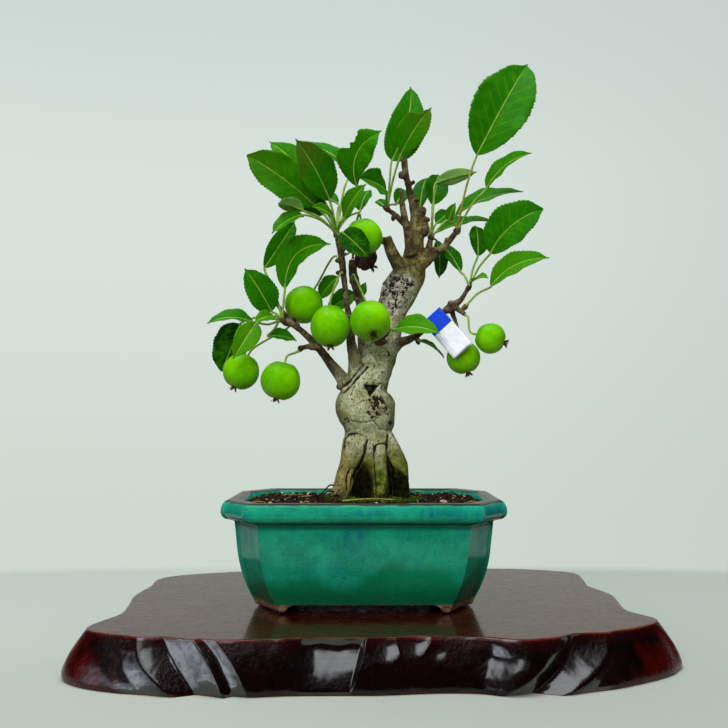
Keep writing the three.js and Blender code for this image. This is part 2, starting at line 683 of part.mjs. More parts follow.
const apples = {
  apple_crown: {
    place: [0, -26, 138], radius: 9.8, tall: 0.98, hangs: [0.2, 0, -1],
    seat: sideSeat(b.uprightFront, 8, [-4, -14, 134]),
  },
  apple_left_high: {
    place: [-32, -14, 104], radius: 10.1, tall: 1, hangs: [-0.5, -0.1, -0.8],
    seat: sideSeat(b.uprightFront, 8, [-20, -18, 128]),
  },
  apple_middle: {
    place: [-17.4, -28, 91], radius: 10.3, tall: 1.06, hangs: [0, -0.15, -1],
    seat: sideSeat(b.uprightFront, 7, [-14, -24, 120]),
  },
  apple_front: {
    place: [3.2, -36, 93], radius: 10.4, tall: 1, hangs: [0.15, -0.65, -0.75],
    seat: sideSeat(b.uprightBack, 6, [-5, -10, 120]),
  },
  apple_far_left: {
    place: [-64, -22, 68], radius: 9.4, tall: 1, hangs: [-0.4, -0.1, -0.9],
    seat: sideSeat(b.leftBud, 1, [-44, -18, 88]),
  },
  apple_left_low: {
    place: [-43, -26, 63], radius: 10.3, tall: 0.98, hangs: [-0.25, 0, -1],
    seat: endSeat(b.leftSpur),
  },
  apple_far_right: {
    place: [65.5, -26, 85], radius: 8, tall: 0.97, hangs: [0.75, -0.1, -0.25],
    seat: endSeat(b.rightSpur),
  },
  apple_right_low: {
    place: [53, -12, 76], radius: 9, tall: 0.98, hangs: [0.3, 0, -1],
    seat: endSeat(b.rightHangSpur),
  },
};
const driedApple = {
  place: [1, -11, 129], radius: 6.2, tall: 0.9, hangs: [0.6, -0.2, -0.7],
  seat: endSeat(b.uprightBack),
};

// The whole object

const bonsai = new THREE.Group();
bonsai.add(named("display_board", boardGeometry(), lacquer));

const planted = new THREE.Group();
planted.position.set(...pot.place, board.thick + seatGap);
bonsai.add(planted);
planted.add(named("pot", geometryOf(potSolid()), glaze));
planted.add(named("soil", geometryOf(soilSolid()), earth));
planted.add(named("drain_screen_left", geometryOf(screenSolid(-pot.drainApart / 2)), meshPlastic));
planted.add(named("drain_screen_right", geometryOf(screenSolid(pot.drainApart / 2)), meshPlastic));

const tree = new THREE.Group();
tree.position.z = soilLevel;
planted.add(tree);
tree.add(named("tree", geometryOf(treeSolid()), bark));
for (const [name, seat, leaves] of bunches) tree.add(sprayNode(name, seat, leaves));
for (const [name, fruit] of Object.entries(apples)) {
  tree.add(appleNode(name, fruit, fruit.seat, appleGreen));
}
tree.add(appleNode("apple_dried", driedApple, driedApple.seat, oldApple));
tree.add(labelNode());

export default bonsai;
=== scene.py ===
import math

import bmesh
import bpy
import numpy as np
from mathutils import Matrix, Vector


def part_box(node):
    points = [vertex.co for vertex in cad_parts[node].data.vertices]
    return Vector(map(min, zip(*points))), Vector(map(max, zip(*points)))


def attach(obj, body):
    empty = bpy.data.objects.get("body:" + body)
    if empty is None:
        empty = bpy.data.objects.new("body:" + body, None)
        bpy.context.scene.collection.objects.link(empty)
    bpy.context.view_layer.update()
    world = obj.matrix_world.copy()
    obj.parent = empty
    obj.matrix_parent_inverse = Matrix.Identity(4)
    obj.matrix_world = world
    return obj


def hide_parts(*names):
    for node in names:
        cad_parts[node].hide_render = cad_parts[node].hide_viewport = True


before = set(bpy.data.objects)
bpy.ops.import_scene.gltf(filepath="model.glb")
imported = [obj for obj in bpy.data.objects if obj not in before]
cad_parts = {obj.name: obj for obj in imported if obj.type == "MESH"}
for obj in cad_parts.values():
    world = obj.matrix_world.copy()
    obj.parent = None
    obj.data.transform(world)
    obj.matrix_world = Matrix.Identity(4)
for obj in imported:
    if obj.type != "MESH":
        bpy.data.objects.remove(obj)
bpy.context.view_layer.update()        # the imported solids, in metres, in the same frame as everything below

dice = np.random.default_rng(20)  # for the soil's crumbs, rootlets and moss

# Lengths are millimetres, as in the solids, and become metres where a mesh is made.
# Tree places are in the tree's own frame: pot centre, and 0 at the level of the soil.

mm = 0.001
layout = {
    "board thick": 22.0,
    "seat gap": 0.3,  # between pieces that touch
    "pot place": (-6.5, -5.5),
    "soil level": 53.0,  # above the board
}
potOrigin = np.array([*layout["pot place"], layout["board thick"] + layout["seat gap"]])
treeOrigin = potOrigin + (0, 0, layout["soil level"])
cellPrimes = np.array([73856093, 19349663, 83492791])  # these scramble the cells of the noise


# Curves and noise

def ahead3(points, index, closed):
    count = len(points)
    if closed:
        return points[index % count]
    if index < 0:
        return 2 * points[0] - points[1]
    if index >= count:
        return 2 * points[-1] - points[-2]
    return points[index]


# A smooth line through points, at shares 0 to 1 of its way
def smoothLine(points, shares, closed=False):
    points = np.asarray(points, float)
    spans = len(points) if closed else len(points) - 1
    found = []
    for share in np.atleast_1d(shares):
        place = share * spans
        index = int(math.floor(place))
        if not closed:
            index = min(index, spans - 1)
        part = place - index
        p0, p1, p2, p3 = (ahead3(points, index + k, closed) for k in (-1, 0, 1, 2))
        d0, d1, d2 = (max(1e-4, np.linalg.norm(b - a)) ** 0.5 for a, b in ((p0, p1), (p1, p2), (p2, p3)))
        t1 = ((p1 - p0) / d0 - (p2 - p0) / (d0 + d1) + (p2 - p1) / d1) * d1
        t2 = ((p2 - p1) / d1 - (p3 - p1) / (d1 + d2) + (p3 - p2) / d2) * d1
        c2 = -3 * p1 + 3 * p2 - 2 * t1 - t2
        c3 = 2 * p1 - 2 * p2 + t1 + t2
        found.append(p1 + part * (t1 + part * (c2 + part * c3)))
    return np.array(found)


# Plain numbers eased through evenly spaced values, at shares 0 to 1
def smoothValues(values, shares):
    values = np.asarray(values, float)
    last = len(values) - 1
    place = np.atleast_1d(shares) * last
    index = np.minimum(place.astype(int), last - 1)
    part = place - index
    v0, v1, v2, v3 = (values[np.clip(index + k, 0, last)] for k in (-1, 0, 1, 2))
    a, b = (v2 - v0) / 2, (v3 - v1) / 2
    return v1 + part * (a + part * (3 * (v2 - v1) - 2 * a - b + part * (2 * (v1 - v2) + a + b)))


# Smooth noise, -1 to 1, with bumps about size apart
def bumps(points, size, seed=0):
    place = np.asarray(points, float) / size + seed * 7.31
    cell = np.floor(place).astype(np.int64)
    part = place - cell
    part = part * part * (3 - 2 * part)
    total = 0
    for corner in range(8):
        step = np.array([corner & 1, corner >> 1 & 1, corner >> 2 & 1])
        key = (cell + step) @ cellPrimes
        key = (key ^ (key >> 13)) * 1274126177 & 0x7FFFFFFF
        key = (key ^ (key >> 15)) * 668265263 & 0x7FFFFFFF
        weight = np.where(step, part, 1 - part).prod(axis=-1)
        total = total + weight * ((key >> 7) % 65536 / 32768 - 1)
    return total


def roughBumps(points, size, seed=0, layers=3):
    return sum(bumps(points, size / 2 ** k, seed + k) / 2 ** k for k in range(layers))


def unit(vectors):
    vectors = np.asarray(vectors, float)
    return vectors / np.maximum(1e-12, np.linalg.norm(vectors, axis=-1, keepdims=True))


def ease(low, high, values):
    part = np.clip((np.asarray(values, float) - low) / (high - low), 0, 1)
    return part * part * (3 - 2 * part)


# Pieces: points, faces and point values gathered part by part, then made into one object

def gather(*valueNames):
    return {"points": [], "faces": [], "finish": [], "count": 0, "values": {name: [] for name in valueNames}}


def put(heap, points, faces, finish=0, **values):
    points = np.asarray(points, float).reshape(-1, 3)
    heap["faces"] += [[index + heap["count"] for index in face] for face in np.asarray(faces).tolist()]
    heap["finish"] += [finish] * len(faces)
    heap["points"].append(points)
    heap["count"] += len(points)
    for name, kept in heap["values"].items():
        kept.append(np.broadcast_to(np.asarray(values.get(name, 0.0), float), len(points)))


def makeMesh(heap, name, materials):
    mesh = bpy.data.meshes.new(name)
    mesh.from_pydata((np.concatenate(heap["points"]) * mm).tolist(), [], heap["faces"])
    for material in materials:
        mesh.materials.append(material)
    mesh.polygons.foreach_set("material_index", heap["finish"])
    for value, kept in heap["values"].items():
        mesh.attributes.new(value, "FLOAT", "POINT").data.foreach_set("value", np.concatenate(kept))
    mesh.shade_smooth()
    mesh.update()
    return mesh


def placePiece(mesh, nodes):
    piece = bpy.data.objects.new(mesh.name, mesh)
    bpy.context.scene.collection.objects.link(piece)
    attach(piece, "root")
    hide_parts(*nodes)
    return piece


def buildPiece(heap, name, materials, nodes):
    return placePiece(makeMesh(heap, name, materials), nodes)


# Faces over rows of points; a closed row joins its end to its start
def rowFaces(rows, columns, closed=True):
    down = np.arange(rows - 1)[:, None] * columns
    across = np.arange(columns if closed else columns - 1)[None, :]
    near = down + across
    beside = down + (across + 1) % columns
    return np.stack([near, beside, beside + columns, near + columns], axis=-1).reshape(-1, 4)


# A closed skin over rings, each anticlockwise seen from the last one
def putLoft(heap, rings, finish=0, **values):
    rings = np.asarray(rings, float)
    rows, columns = rings.shape[:2]
    points = np.concatenate([rings.reshape(-1, 3), [rings[0].mean(axis=0), rings[-1].mean(axis=0)]])
    spread = {}
    for name, value in values.items():
        value = np.broadcast_to(np.asarray(value, float), (rows, columns))
        spread[name] = np.concatenate([value.reshape(-1), [value[0].mean(), value[-1].mean()]])
    start = heap["count"]
    put(heap, points, rowFaces(rows, columns), finish, **spread)
    low, high = start + rows * columns, start + rows * columns + 1
    last = start + (rows - 1) * columns
    for j in range(columns):
        k = (j + 1) % columns
        heap["faces"] += [[start + k, start + j, low], [last + j, last + k, high]]
    heap["finish"] += [finish] * (2 * columns)


# Rings of a tube along a line, carried without twisting
def tubeRings(line, radii, sides, start=(1, 0, 0)):
    line = np.asarray(line, float)
    ahead = unit(np.gradient(line, axis=0))
    turn = np.linspace(0, 2 * math.pi, sides, endpoint=False)
    across = np.array(start, float)
    rings = []
    for centre, way, radius in zip(line, ahead, np.broadcast_to(radii, len(line))):
        across = across - way * across.dot(way)
        if np.linalg.norm(across) < 1e-3:
            across = np.cross(way, (0, 1, 0.3))
        across = unit(across)
        other = np.cross(way, across)
        rings.append(centre + radius * (np.outer(np.cos(turn), across) + np.outer(np.sin(turn), other)))
    return np.array(rings)


def applyModifiers(piece):
    found = piece.evaluated_get(bpy.context.evaluated_depsgraph_get())
    mesh = bpy.data.meshes.new_from_object(found)
    piece.modifiers.clear()
    piece.data = mesh
    return mesh


# Shader helpers; a colour is a socket, a ready one, or three numbers from 0 to 255

def tint(red, green, blue):
    shares = (red / 255, green / 255, blue / 255)
    linear = [c / 12.92 if c <= 0.04045 else ((c + 0.055) / 1.055) ** 2.4 for c in shares]
    return (*linear, 1.0)


def inkOf(color):
    return tint(*color) if isinstance(color, tuple) and len(color) == 3 else color


def feed(tree, socket, value):
    if isinstance(value, bpy.types.NodeSocket):
        tree.links.new(value, socket)
    else:
        socket.default_value = value


def shaderNode(tree, kind, inputs=None, **settings):
    node = tree.nodes.new(kind)
    for name, value in settings.items():
        setattr(node, name, value)
    for name, value in (inputs or {}).items():
        feed(tree, node.inputs[name], value)
    return node


def calc(tree, kind, *values):
    return shaderNode(tree, "ShaderNodeMath", dict(enumerate(values)), operation=kind).outputs[0]


def times(tree, first, *others):
    for other in others:
        first = calc(tree, "MULTIPLY", first, other)
    return first


def plus(tree, first, second):
    return calc(tree, "ADD", first, second)


def minus(tree, first, second):
    return calc(tree, "SUBTRACT", first, second)


def absolute(tree, value):
    return calc(tree, "ABSOLUTE", value)


def fade(tree, value, low, high, fromZero=0.0, toOne=1.0):
    names = {"Value": value, "From Min": low, "From Max": high, "To Min": fromZero, "To Max": toOne}
    return shaderNode(tree, "ShaderNodeMapRange", names, interpolation_type="SMOOTHSTEP").outputs["Result"]


def mixed(tree, share, first, second):
    inputs = {0: share, 6: inkOf(first), 7: inkOf(second)}
    return shaderNode(tree, "ShaderNodeMix", inputs, data_type="RGBA").outputs[2]


# Lays colours over one another: where each lies, how strong it gets, and the colour
def layered(tree, color, layers):
    for mask, share, shade in layers:
        color = mixed(tree, mask if share == 1 else times(tree, mask, share), color, shade)
    return color


# Soft noise; three numbers as its scale stretch it
def noiseOf(tree, where, scale, detail=3.0, roughness=0.55, distortion=0.0, turn=(0, 0, 0)):
    if isinstance(scale, tuple):
        names = {"Vector": where, "Scale": scale, "Rotation": turn}
        where, scale = shaderNode(tree, "ShaderNodeMapping", names).outputs["Vector"], 1.0
    names = {"Vector": where, "Scale": scale, "Detail": detail, "Roughness": roughness}
    names["Distortion"] = distortion
    return shaderNode(tree, "ShaderNodeTexNoise", names).outputs["Fac"]


def objectPlace(tree):
    return shaderNode(tree, "ShaderNodeTexCoord").outputs["Object"]


def pointValue(tree, name):
    return shaderNode(tree, "ShaderNodeAttribute", attribute_name=name).outputs["Fac"]


def pieceOf(tree, where):
    return shaderNode(tree, "ShaderNodeSeparateXYZ", {"Vector": where}).outputs


def bumpOf(tree, height, strength, distance):
    names = {"Height": height, "Strength": strength, "Distance": distance}
    return shaderNode(tree, "ShaderNodeBump", names).outputs["Normal"]


# A material with its own Principled shader; build fills in what varies
def newMaterial(name, build, **sockets):
    material = bpy.data.materials.new(name)
    material.use_nodes = True
    tree = material.node_tree
    tree.nodes.clear()
    skin = shaderNode(tree, "ShaderNodeBsdfPrincipled")
    for socket, value in sockets.items():
        skin.inputs[socket.replace("_", " ")].default_value = value
    out = shaderNode(tree, "ShaderNodeOutputMaterial")
    tree.links.new(skin.outputs[0], out.inputs["Surface"])
    for socket, value in build(tree).items():
        tree.links.new(value, skin.inputs[socket])
    return material


def newGroup(name, inputs, outputs, build):
    group = bpy.data.node_groups.new(name, "ShaderNodeTree")
    kinds = {"v": "NodeSocketVector", "f": "NodeSocketFloat", "c": "NodeSocketColor"}
    for socket, (kind, value) in inputs.items():
        made = group.interface.new_socket(socket, in_out="INPUT", socket_type=kinds[kind])
        if value is not None:
            made.default_value = value
    for socket, kind in outputs.items():
        group.interface.new_socket(socket, in_out="OUTPUT", socket_type=kinds[kind])
    given = group.nodes.new("NodeGroupInput")
    result = group.nodes.new("NodeGroupOutput")
    for socket, value in build(group, given.outputs).items():
        group.links.new(value, result.inputs[socket])
    return group


def useGroup(tree, group, inputs):
    node = tree.nodes.new("ShaderNodeGroup")
    node.node_tree = group
    for name, value in inputs.items():
        feed(tree, node.inputs[name], value)
    return node.outputs


# Effects that several finishes share

def buildMottle(tree, given):
    broad = noiseOf(tree, given["Place"], given["Scale"], 4.0, 0.6, 0.3)
    fine = noiseOf(tree, given["Place"], times(tree, given["Scale"], 5.0), 2.0, 0.6)
    both = plus(tree, times(tree, broad, 0.7), times(tree, fine, 0.3))
    return {"Color": mixed(tree, fade(tree, both, 0.36, 0.64), given["Dark"], given["Light"])}


def buildSpeckle(tree, given):
    names = {"Vector": given["Place"], "Scale": given["Scale"], "Randomness": 1.0}
    cells = shaderNode(tree, "ShaderNodeTexVoronoi", names)
    reach = times(tree, given["Size"], pieceOf(tree, cells.outputs["Color"])[0])
    return {"Mask": fade(tree, minus(tree, reach, cells.outputs["Distance"]), 0.0, 0.06)}


mottle = newGroup(
    "Mottle",
    {
        "Place": ("v", None), "Scale": ("f", 100.0),
        "Dark": ("c", tint(60, 60, 60)), "Light": ("c", tint(200, 200, 200)),
    },
    {"Color": "c"},
    buildMottle,
)
speckle = newGroup(
    "Speckle",
    {"Place": ("v", None), "Scale": ("f", 500.0), "Size": ("f", 0.3)},
    {"Mask": "f"},
    buildSpeckle,
)


def mottled(tree, place, scale, dark, light):
    inputs = {"Place": place, "Scale": scale, "Dark": tint(*dark), "Light": tint(*light)}
    return useGroup(tree, mottle, inputs)["Color"]


def specked(tree, place, scale, size):
    return useGroup(tree, speckle, {"Place": place, "Scale": scale, "Size": size})["Mask"]


# A mottled skin with a fine relief: grain is the noise's scale, bump its strength and distance
def mottledSkin(name, scale, dark, light, grain, detail, bump, **sockets):
    def build(tree):
        place = objectPlace(tree)
        fine = noiseOf(tree, place, grain, detail)
        return {"Base Color": mottled(tree, place, scale, dark, light), "Normal": bumpOf(tree, fine, *bump)}

    return newMaterial(name, build, **sockets)


# Stage, light and camera

camera = {"place": (-6.5, -505.5, 117.6), "pitch": 3.55, "lens": 45.4}

lens = bpy.data.cameras.new("camera")
lens.lens = camera["lens"]
lens.sensor_width = 36
lens.clip_start = 0.01
viewer = bpy.data.objects.new("camera", lens)
viewer.location = Vector(camera["place"]) * mm
viewer.rotation_euler = (math.radians(90 + camera["pitch"]), 0, 0)
bpy.context.scene.collection.objects.link(viewer)
bpy.context.scene.camera = viewer
bpy.context.scene.view_settings.view_transform = "Standard"

stage = {
    "floor radius": 6.0,
    "floor": tint(161, 168, 159),
    # painted light further back and painted shade on the right
    "far floor painted light": tint(172, 182, 173),
    "right floor painted shade": tint(146, 154, 146),
    "far": (0.215, 0.255),  # where the sheet ends, in metres
    "front to back": (-0.16, 0.1),
    "left to right": (-0.16, 0.16, 0.0, 0.45),
}


# The sheet of paper fades away softly a little behind the object
def buildFloor(tree):
    right, back, _ = pieceOf(tree, objectPlace(tree))
    wide = calc(tree, "POWER", times(tree, right, 0.6), 4.0)
    deep = calc(tree, "POWER", back, 4.0)
    away = calc(tree, "POWER", plus(tree, wide, deep), 0.25)
    # painted light and shade: the floor is painted lighter towards the back and darker on the right
    color = layered(tree, stage["floor"], [
        (fade(tree, back, *stage["front to back"]), 1, stage["far floor painted light"]),
        (fade(tree, right, *stage["left to right"]), 1, stage["right floor painted shade"]),
    ])
    return {"Base Color": color, "Alpha": fade(tree, away, *stage["far"], 1.0, 0.0)}


floorMesh = bpy.data.meshes.new("floor")
shape = bmesh.new()
bmesh.ops.create_circle(shape, cap_ends=True, segments=96, radius=stage["floor radius"])
shape.to_mesh(floorMesh)
floorMesh.materials.append(newMaterial("floor paper", buildFloor, Roughness=0.9))
floor = bpy.data.objects.new("floor", floorMesh)
bpy.context.scene.collection.objects.link(floor)

# The lamps don't show in glossy skins; the room does
lights = [
    # name, place in metres, aimed at, width, depth, watts
    ("overhead", (0.0, -0.05, 1.5), (0, 0, 0.1), 1.7, 1.3, 20),
    ("front", (-0.4, -1.5, 0.8), (0, 0, 0.15), 1.2, 0.9, 21),
    ("right", (1.2, -0.7, 0.9), (0, 0, 0.15), 0.6, 0.9, 4),
]
for name, place, aim, wide, deep, power in lights:
    lamp = bpy.data.lights.new(name, "AREA")
    lamp.shape = "RECTANGLE"
    lamp.size, lamp.size_y, lamp.energy = wide, deep, power
    lampObject = bpy.data.objects.new(name, lamp)
    lampObject.location = place
    lampObject.visible_glossy = False
    lampObject.rotation_euler = (Vector(aim) - Vector(place)).to_track_quat("-Z", "Y").to_euler()
    bpy.context.scene.collection.objects.link(lampObject)

room = {
    "low paper": tint(206, 216, 207),
    "paper": tint(216, 227, 221),
    "high paper": tint(203, 215, 211),
    "right paper": tint(196, 204, 200),
    "dark side": (0.012, 0.013, 0.014, 1.0),
    "back": (0.34, 0.35, 0.32, 1.0),
    "back from": (0.55, 0.92),
    "ceiling": (2.3, 2.4, 2.5, 1.0),
    "ceiling from": (0.86, 0.95),
    "ceiling sides": [(0.11, 0.01), (-0.5, -0.34)],
    "window": (3.0, 3.25, 3.7, 1.0),
    "window right": (-0.48, -0.66),
    "window near": (-0.14, -0.32),
    "window top": (0.54, 0.4),
}


def buildRoom():
    world = bpy.data.worlds.new("room")
    bpy.context.scene.world = world
    world.use_nodes = True
    sky = world.node_tree
    sky.nodes.clear()
    toward = shaderNode(sky, "ShaderNodeTexCoord").outputs["Generated"]
    rays = shaderNode(sky, "ShaderNodeLightPath").outputs
    right, back, up = pieceOf(sky, toward)
    paper = layered(sky, room["low paper"], [
        (fade(sky, up, -0.13, 0.22), 1, room["paper"]),
        (fade(sky, up, 0.22, 0.44), 1, room["high paper"]),
        (fade(sky, right, 0.0, 0.5, 0.0, 0.7), 1, room["right paper"]),
    ])
    rise = fade(sky, plus(sky, up, times(sky, absolute(sky, right), 0.35)), *room["ceiling from"])
    ceiling = times(sky, rise, *(fade(sky, right, *side) for side in room["ceiling sides"]))
    curtain = fade(sky, noiseOf(sky, toward, 9.0, 3.0), 0.36, 0.62, 0.3, 1.0)
    window = times(
        sky, fade(sky, right, *room["window right"]), fade(sky, back, *room["window near"]),
        fade(sky, up, *room["window top"]), rays["Is Glossy Ray"], curtain,
    )
    around = layered(sky, room["dark side"], [
        (fade(sky, back, *room["back from"]), 1, room["back"]),
        (ceiling, 1, room["ceiling"]),
        (window, 1, room["window"]),
    ])
    shine, behind = (
        shaderNode(sky, "ShaderNodeBackground", {"Color": color, "Strength": 1.0}).outputs[0]
        for color in (around, paper)
    )
    both = shaderNode(sky, "ShaderNodeMixShader", {0: rays["Is Camera Ray"], 1: shine, 2: behind})
    shaderNode(sky, "ShaderNodeOutputWorld", {"Surface": both.outputs[0]})


buildRoom()
print("stage made")


# Display board: a wavy outline, a flared edge cut by slanted gouges, and a flat lacquered top

board = {
    "thick": layout["board thick"],
    "flare": 11.0,
    "stations": 1600,
    "fine steps": 4001,
    "level count": 45,
    "top insets": (0.25, 1.2, 8),
    "chatter": 0.12,  # height of the fine roughness of the edge
    "outline": [
        (-135, -74), (-109, -90), (-70, -96), (-40, -93), (0, -92), (25, -89), (45, -90), (63, -95),
        (100, -83), (134, -55), (126, -33), (127, -13), (129, 10), (122, 42), (125, 81), (101, 95),
        (76, 99), (16, 95), (-87, 87), (-129, 65), (-131, 34), (-133, 7), (-128, -38),
    ],
    # height, share of the flare, share of the gouges, share of the front's cuts
    "levels": [
        (0, 0.93, 0.5, 0.75), (2, 1, 0.8, 0.9), (9, 0.78, 1, 1), (15.5, 0.42, 1, 1),
        (20.5, 0.1, 0.5, 0.75), (22, 0, 0, 0.6),
    ],
    # gouges of the sides and back: how many would go round, the first one, length, width, depth
    "gouges": (22, 7, 16, 12, 2.7),
    # long scoops of the front: ridges at their right and left (at the top, at the foot, bow), depth,
    # rising share
    "front scoops": [
        ((-108.2, -87, -3.6), (-129, -112, 0), 1.4, 0.5),
        ((-82.2, -66.8, 2.3), (-108.2, -87, -3.6), 6.0, 0.6),
        ((-71.9, -57.3, 1.5), (-82.2, -66.8, 2.3), 3.2, 0.7),
        ((103, 75, 6.5), (75, 55, 3), 8.5, 0.5),
        ((114, 97, 2), (103, 75, 6.5), 1.2, 0.5),
    ],
    # flats of the front that lean back: left, right at the top and at the foot, how softly each begins,
    # foot, top, depth
    "front flats": [(-36, -6.6, -13.7, 8, 0.6, 0, 19.5, 6.4), (44, 61, 58, 6, 5, 3, 15, 2.8)],
    # bites of the front: across, up, half length, half height, depth, sharpness of the rim
    "front bites": [
        (1.2, 20.5, 8.5, 7.5, 3.0, 0.9), (13, 21, 9, 6.5, 2.6, 0.9), (80.5, 23, 14, 7.0, 2.6, 0.9),
        (24, 16, 5, 3, 0.8, 0.8),
    ],
}


# Round the sides and back: middle along the edge and up, half width, lean
def otherGouges(total):
    count, first, _, wide, _ = board["gouges"]
    found = []
    for k in range(first, count):
        centre = (k + 0.5 + 0.28 * math.sin(2.4 * k)) / count * total
        lean = -0.9 if k % 3 else 1.1
        found.append((centre, 11 + 2 * math.sin(1.7 * k), wide + 4 * math.sin(3.1 * k), lean))
    return found


def gougeAt(along, height, total):
    deepest = np.zeros_like(along)
    *_, long, _, deep = board["gouges"]
    for place, up, wide, lean in otherGouges(total):
        away = along - place
        away = away - total * np.round(away / total)
        level = height - up
        size = math.hypot(1, lean)
        lengthwise = (level + lean * away) / size / long
        crosswise = (away - lean * level) / size / wide
        deepest = np.maximum(deepest, deep * (1 - lengthwise ** 2 - crosswise ** 2))
    return deepest


# The front's cuts: a scoop is deepest in its middle and ends at a ridge, a flat leans back as it rises
def frontCutAt(across, height):
    depth = np.zeros_like(across)
    share = height / board["thick"]
    for *ridges, deep, rising in board["front scoops"]:
        bowed = math.sin(math.pi * share)
        right, left = [foot + (top - foot) * share + bow * bowed for top, foot, bow in ridges]
        inside = (right + 0.3 * math.sin(height / 3.1 + deep) - across) / (right - left)
        sink = np.clip(np.minimum(inside / rising, (1 - inside) / (1 - rising)), 0, 1)
        depth = np.maximum(depth, deep * sink * np.where(inside < rising, 1.4 - 0.4 * sink, 1))
    for left, top, foot, early, late, low, high, deep in board["front flats"]:
        right = foot + (top - foot) * share
        sway = 0.8 * math.sin(height / 3.3 + left)
        torn = high + 0.5 * np.sin(0.42 * across)
        sink = np.clip((height - low) / (torn - low), 0, 1) * ease(6.5, -3, height - torn)
        sink = sink * ease(left - early, left + early, across + sway)
        sink = sink * ease(right + late, right - late, across)
        depth = np.maximum(depth, deep * sink)
    for place, up, long, high, deep, sharp in board["front bites"]:
        left = ((across - place) / long) ** 2 + ((height - up) / high) ** 2
        depth = np.maximum(depth, deep * np.clip(1 - left, 0, 1) ** sharp)
    return depth


def buildBoard():
    outline = [(x, y, 0) for x, y in board["outline"]]
    fine = smoothLine(outline, np.linspace(0, 1, board["fine steps"]), closed=True)
    steps = np.linalg.norm(np.diff(fine, axis=0), axis=1)
    run = np.concatenate([[0], np.cumsum(steps)])
    along = np.linspace(0, run[-1], board["stations"], endpoint=False)
    line = np.stack([np.interp(along, run, fine[:, k]) for k in (0, 1)], axis=1)
    ahead = unit(np.roll(line, -1, axis=0) - np.roll(line, 1, axis=0))
    outward = np.stack([ahead[:, 1], -ahead[:, 0]], axis=1)
    front = ease(-0.45, -0.8, outward[:, 1])
    rings, edge, cuts = [], [], []
    shares = np.linspace(0, 1, board["level count"])
    for height, flare, sideShare, frontShare in smoothLine(board["levels"], shares):
        level = np.full(len(line), height)
        carved = frontCutAt(line[:, 0], height) * front
        cut = gougeAt(along, height, run[-1]) * (1 - front) * max(0, sideShare) + carved * frontShare
        rough = roughBumps(np.column_stack([line, level]), 5, 3)
        cut = cut + board["chatter"] * rough * ease(22, 20.5, height)
        reach = board["flare"] * flare - cut
        rings.append(np.column_stack([line + outward * reach[:, None], level]))
        edge.append(ease(20.9, 21.8, height))
        cuts.append(np.clip(carved / 0.8, 0, 1))
    rings[-1][:, 2] = board["thick"] - 0.2
    level = np.full(len(line), board["thick"])
    for inset in board["top insets"]:
        rings.append(np.column_stack([line + outward * (reach - inset)[:, None], level]))
        edge.append(1.0 if inset < 0.3 else 0.0)
        cuts.append(cuts[-1])
    rings = np.array(rings)
    corner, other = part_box("display_board")
    middle = (np.array(corner) + np.array(other)) / 2 / mm
    spread = (rings.reshape(-1, 3).max(axis=0) + rings.reshape(-1, 3).min(axis=0)) / 2
    rings[..., :2] += middle[:2] - spread[:2]
    heap = gather("edge", "cut")
    putLoft(heap, rings, edge=np.array(edge)[:, None], cut=np.array(cuts))
    return buildPiece(heap, "lacquered_board", [lacquer], ["display_board"])


# Heights here are in metres: 0.022 is the top
def buildLacquer(tree):
    place = objectPlace(tree)
    right, _, height = pieceOf(tree, place)
    side = fade(tree, height, 0.0216, 0.0206)
    cut = pointValue(tree, "cut")
    grain = noiseOf(tree, place, (60, 900, 400), 3.0, 0.6)
    pores = fade(tree, noiseOf(tree, place, (260, 2600, 900), 2.0, 0.5), 0.6, 0.72)
    worn = fade(tree, noiseOf(tree, place, 90.0, 3.0), 0.35, 0.6)
    redEnds = times(tree, fade(tree, absolute(tree, right), 0.098, 0.14), side)
    patches = fade(tree, noiseOf(tree, place, (60, 60, 26), 2.0), 0.38, 0.58)
    top = mixed(tree, fade(tree, grain, 0.35, 0.7), (30, 5, 2), (72, 14, 5))
    color = layered(tree, top, [
        (pores, 0.6, (16, 3, 3)),
        # the carved edge is painted near black, darker than the top: partly the lacquer's own dark colour,
        # partly painted shade
        (side, 1, mottled(tree, place, 28.0, (4, 1, 1), (14, 2, 2))),
        (times(tree, redEnds, patches), 1, (58, 3, 2)),
        (times(tree, fade(tree, height, 0.016, 0.0212), side), 0.4, (40, 3, 2)),
        (times(tree, fade(tree, pointValue(tree, "edge"), 0.4, 1.0), worn), 0.4, (124, 40, 18)),
        (times(tree, fade(tree, height, 0.0016, 0.0006), worn), 0.6, (84, 22, 12)),
    ])
    ripple = noiseOf(tree, place, (620, 620, 420), 3.0, 0.6, turn=(0, 0.7, 0))
    low = times(tree, ripple, plus(tree, 2.0, times(tree, cut, 2.6)), side)
    relief = bumpOf(tree, plus(tree, times(tree, grain, 0.5), low), 0.35, 0.0004)
    rough = fade(tree, noiseOf(tree, place, 260.0, 3.0), 0.3, 0.75, 0.16, 0.34)
    thin = times(tree, minus(tree, 1.0, cut), side)
    coat = plus(tree, fade(tree, grain, 0.3, 0.7, 0.74, 0.88), times(tree, side, 0.12))
    coat = minus(tree, coat, times(tree, thin, 0.8))
    return {"Base Color": color, "Roughness": rough, "Coat Weight": coat, "Normal": relief}


lacquer = newMaterial("lacquer", buildLacquer, Specular_IOR_Level=0.2, Coat_Roughness=0.1, Coat_IOR=1.8)
buildBoard()
print("board made")


# Pot: canted rectangular sections, rounded by the glaze, on four corner feet

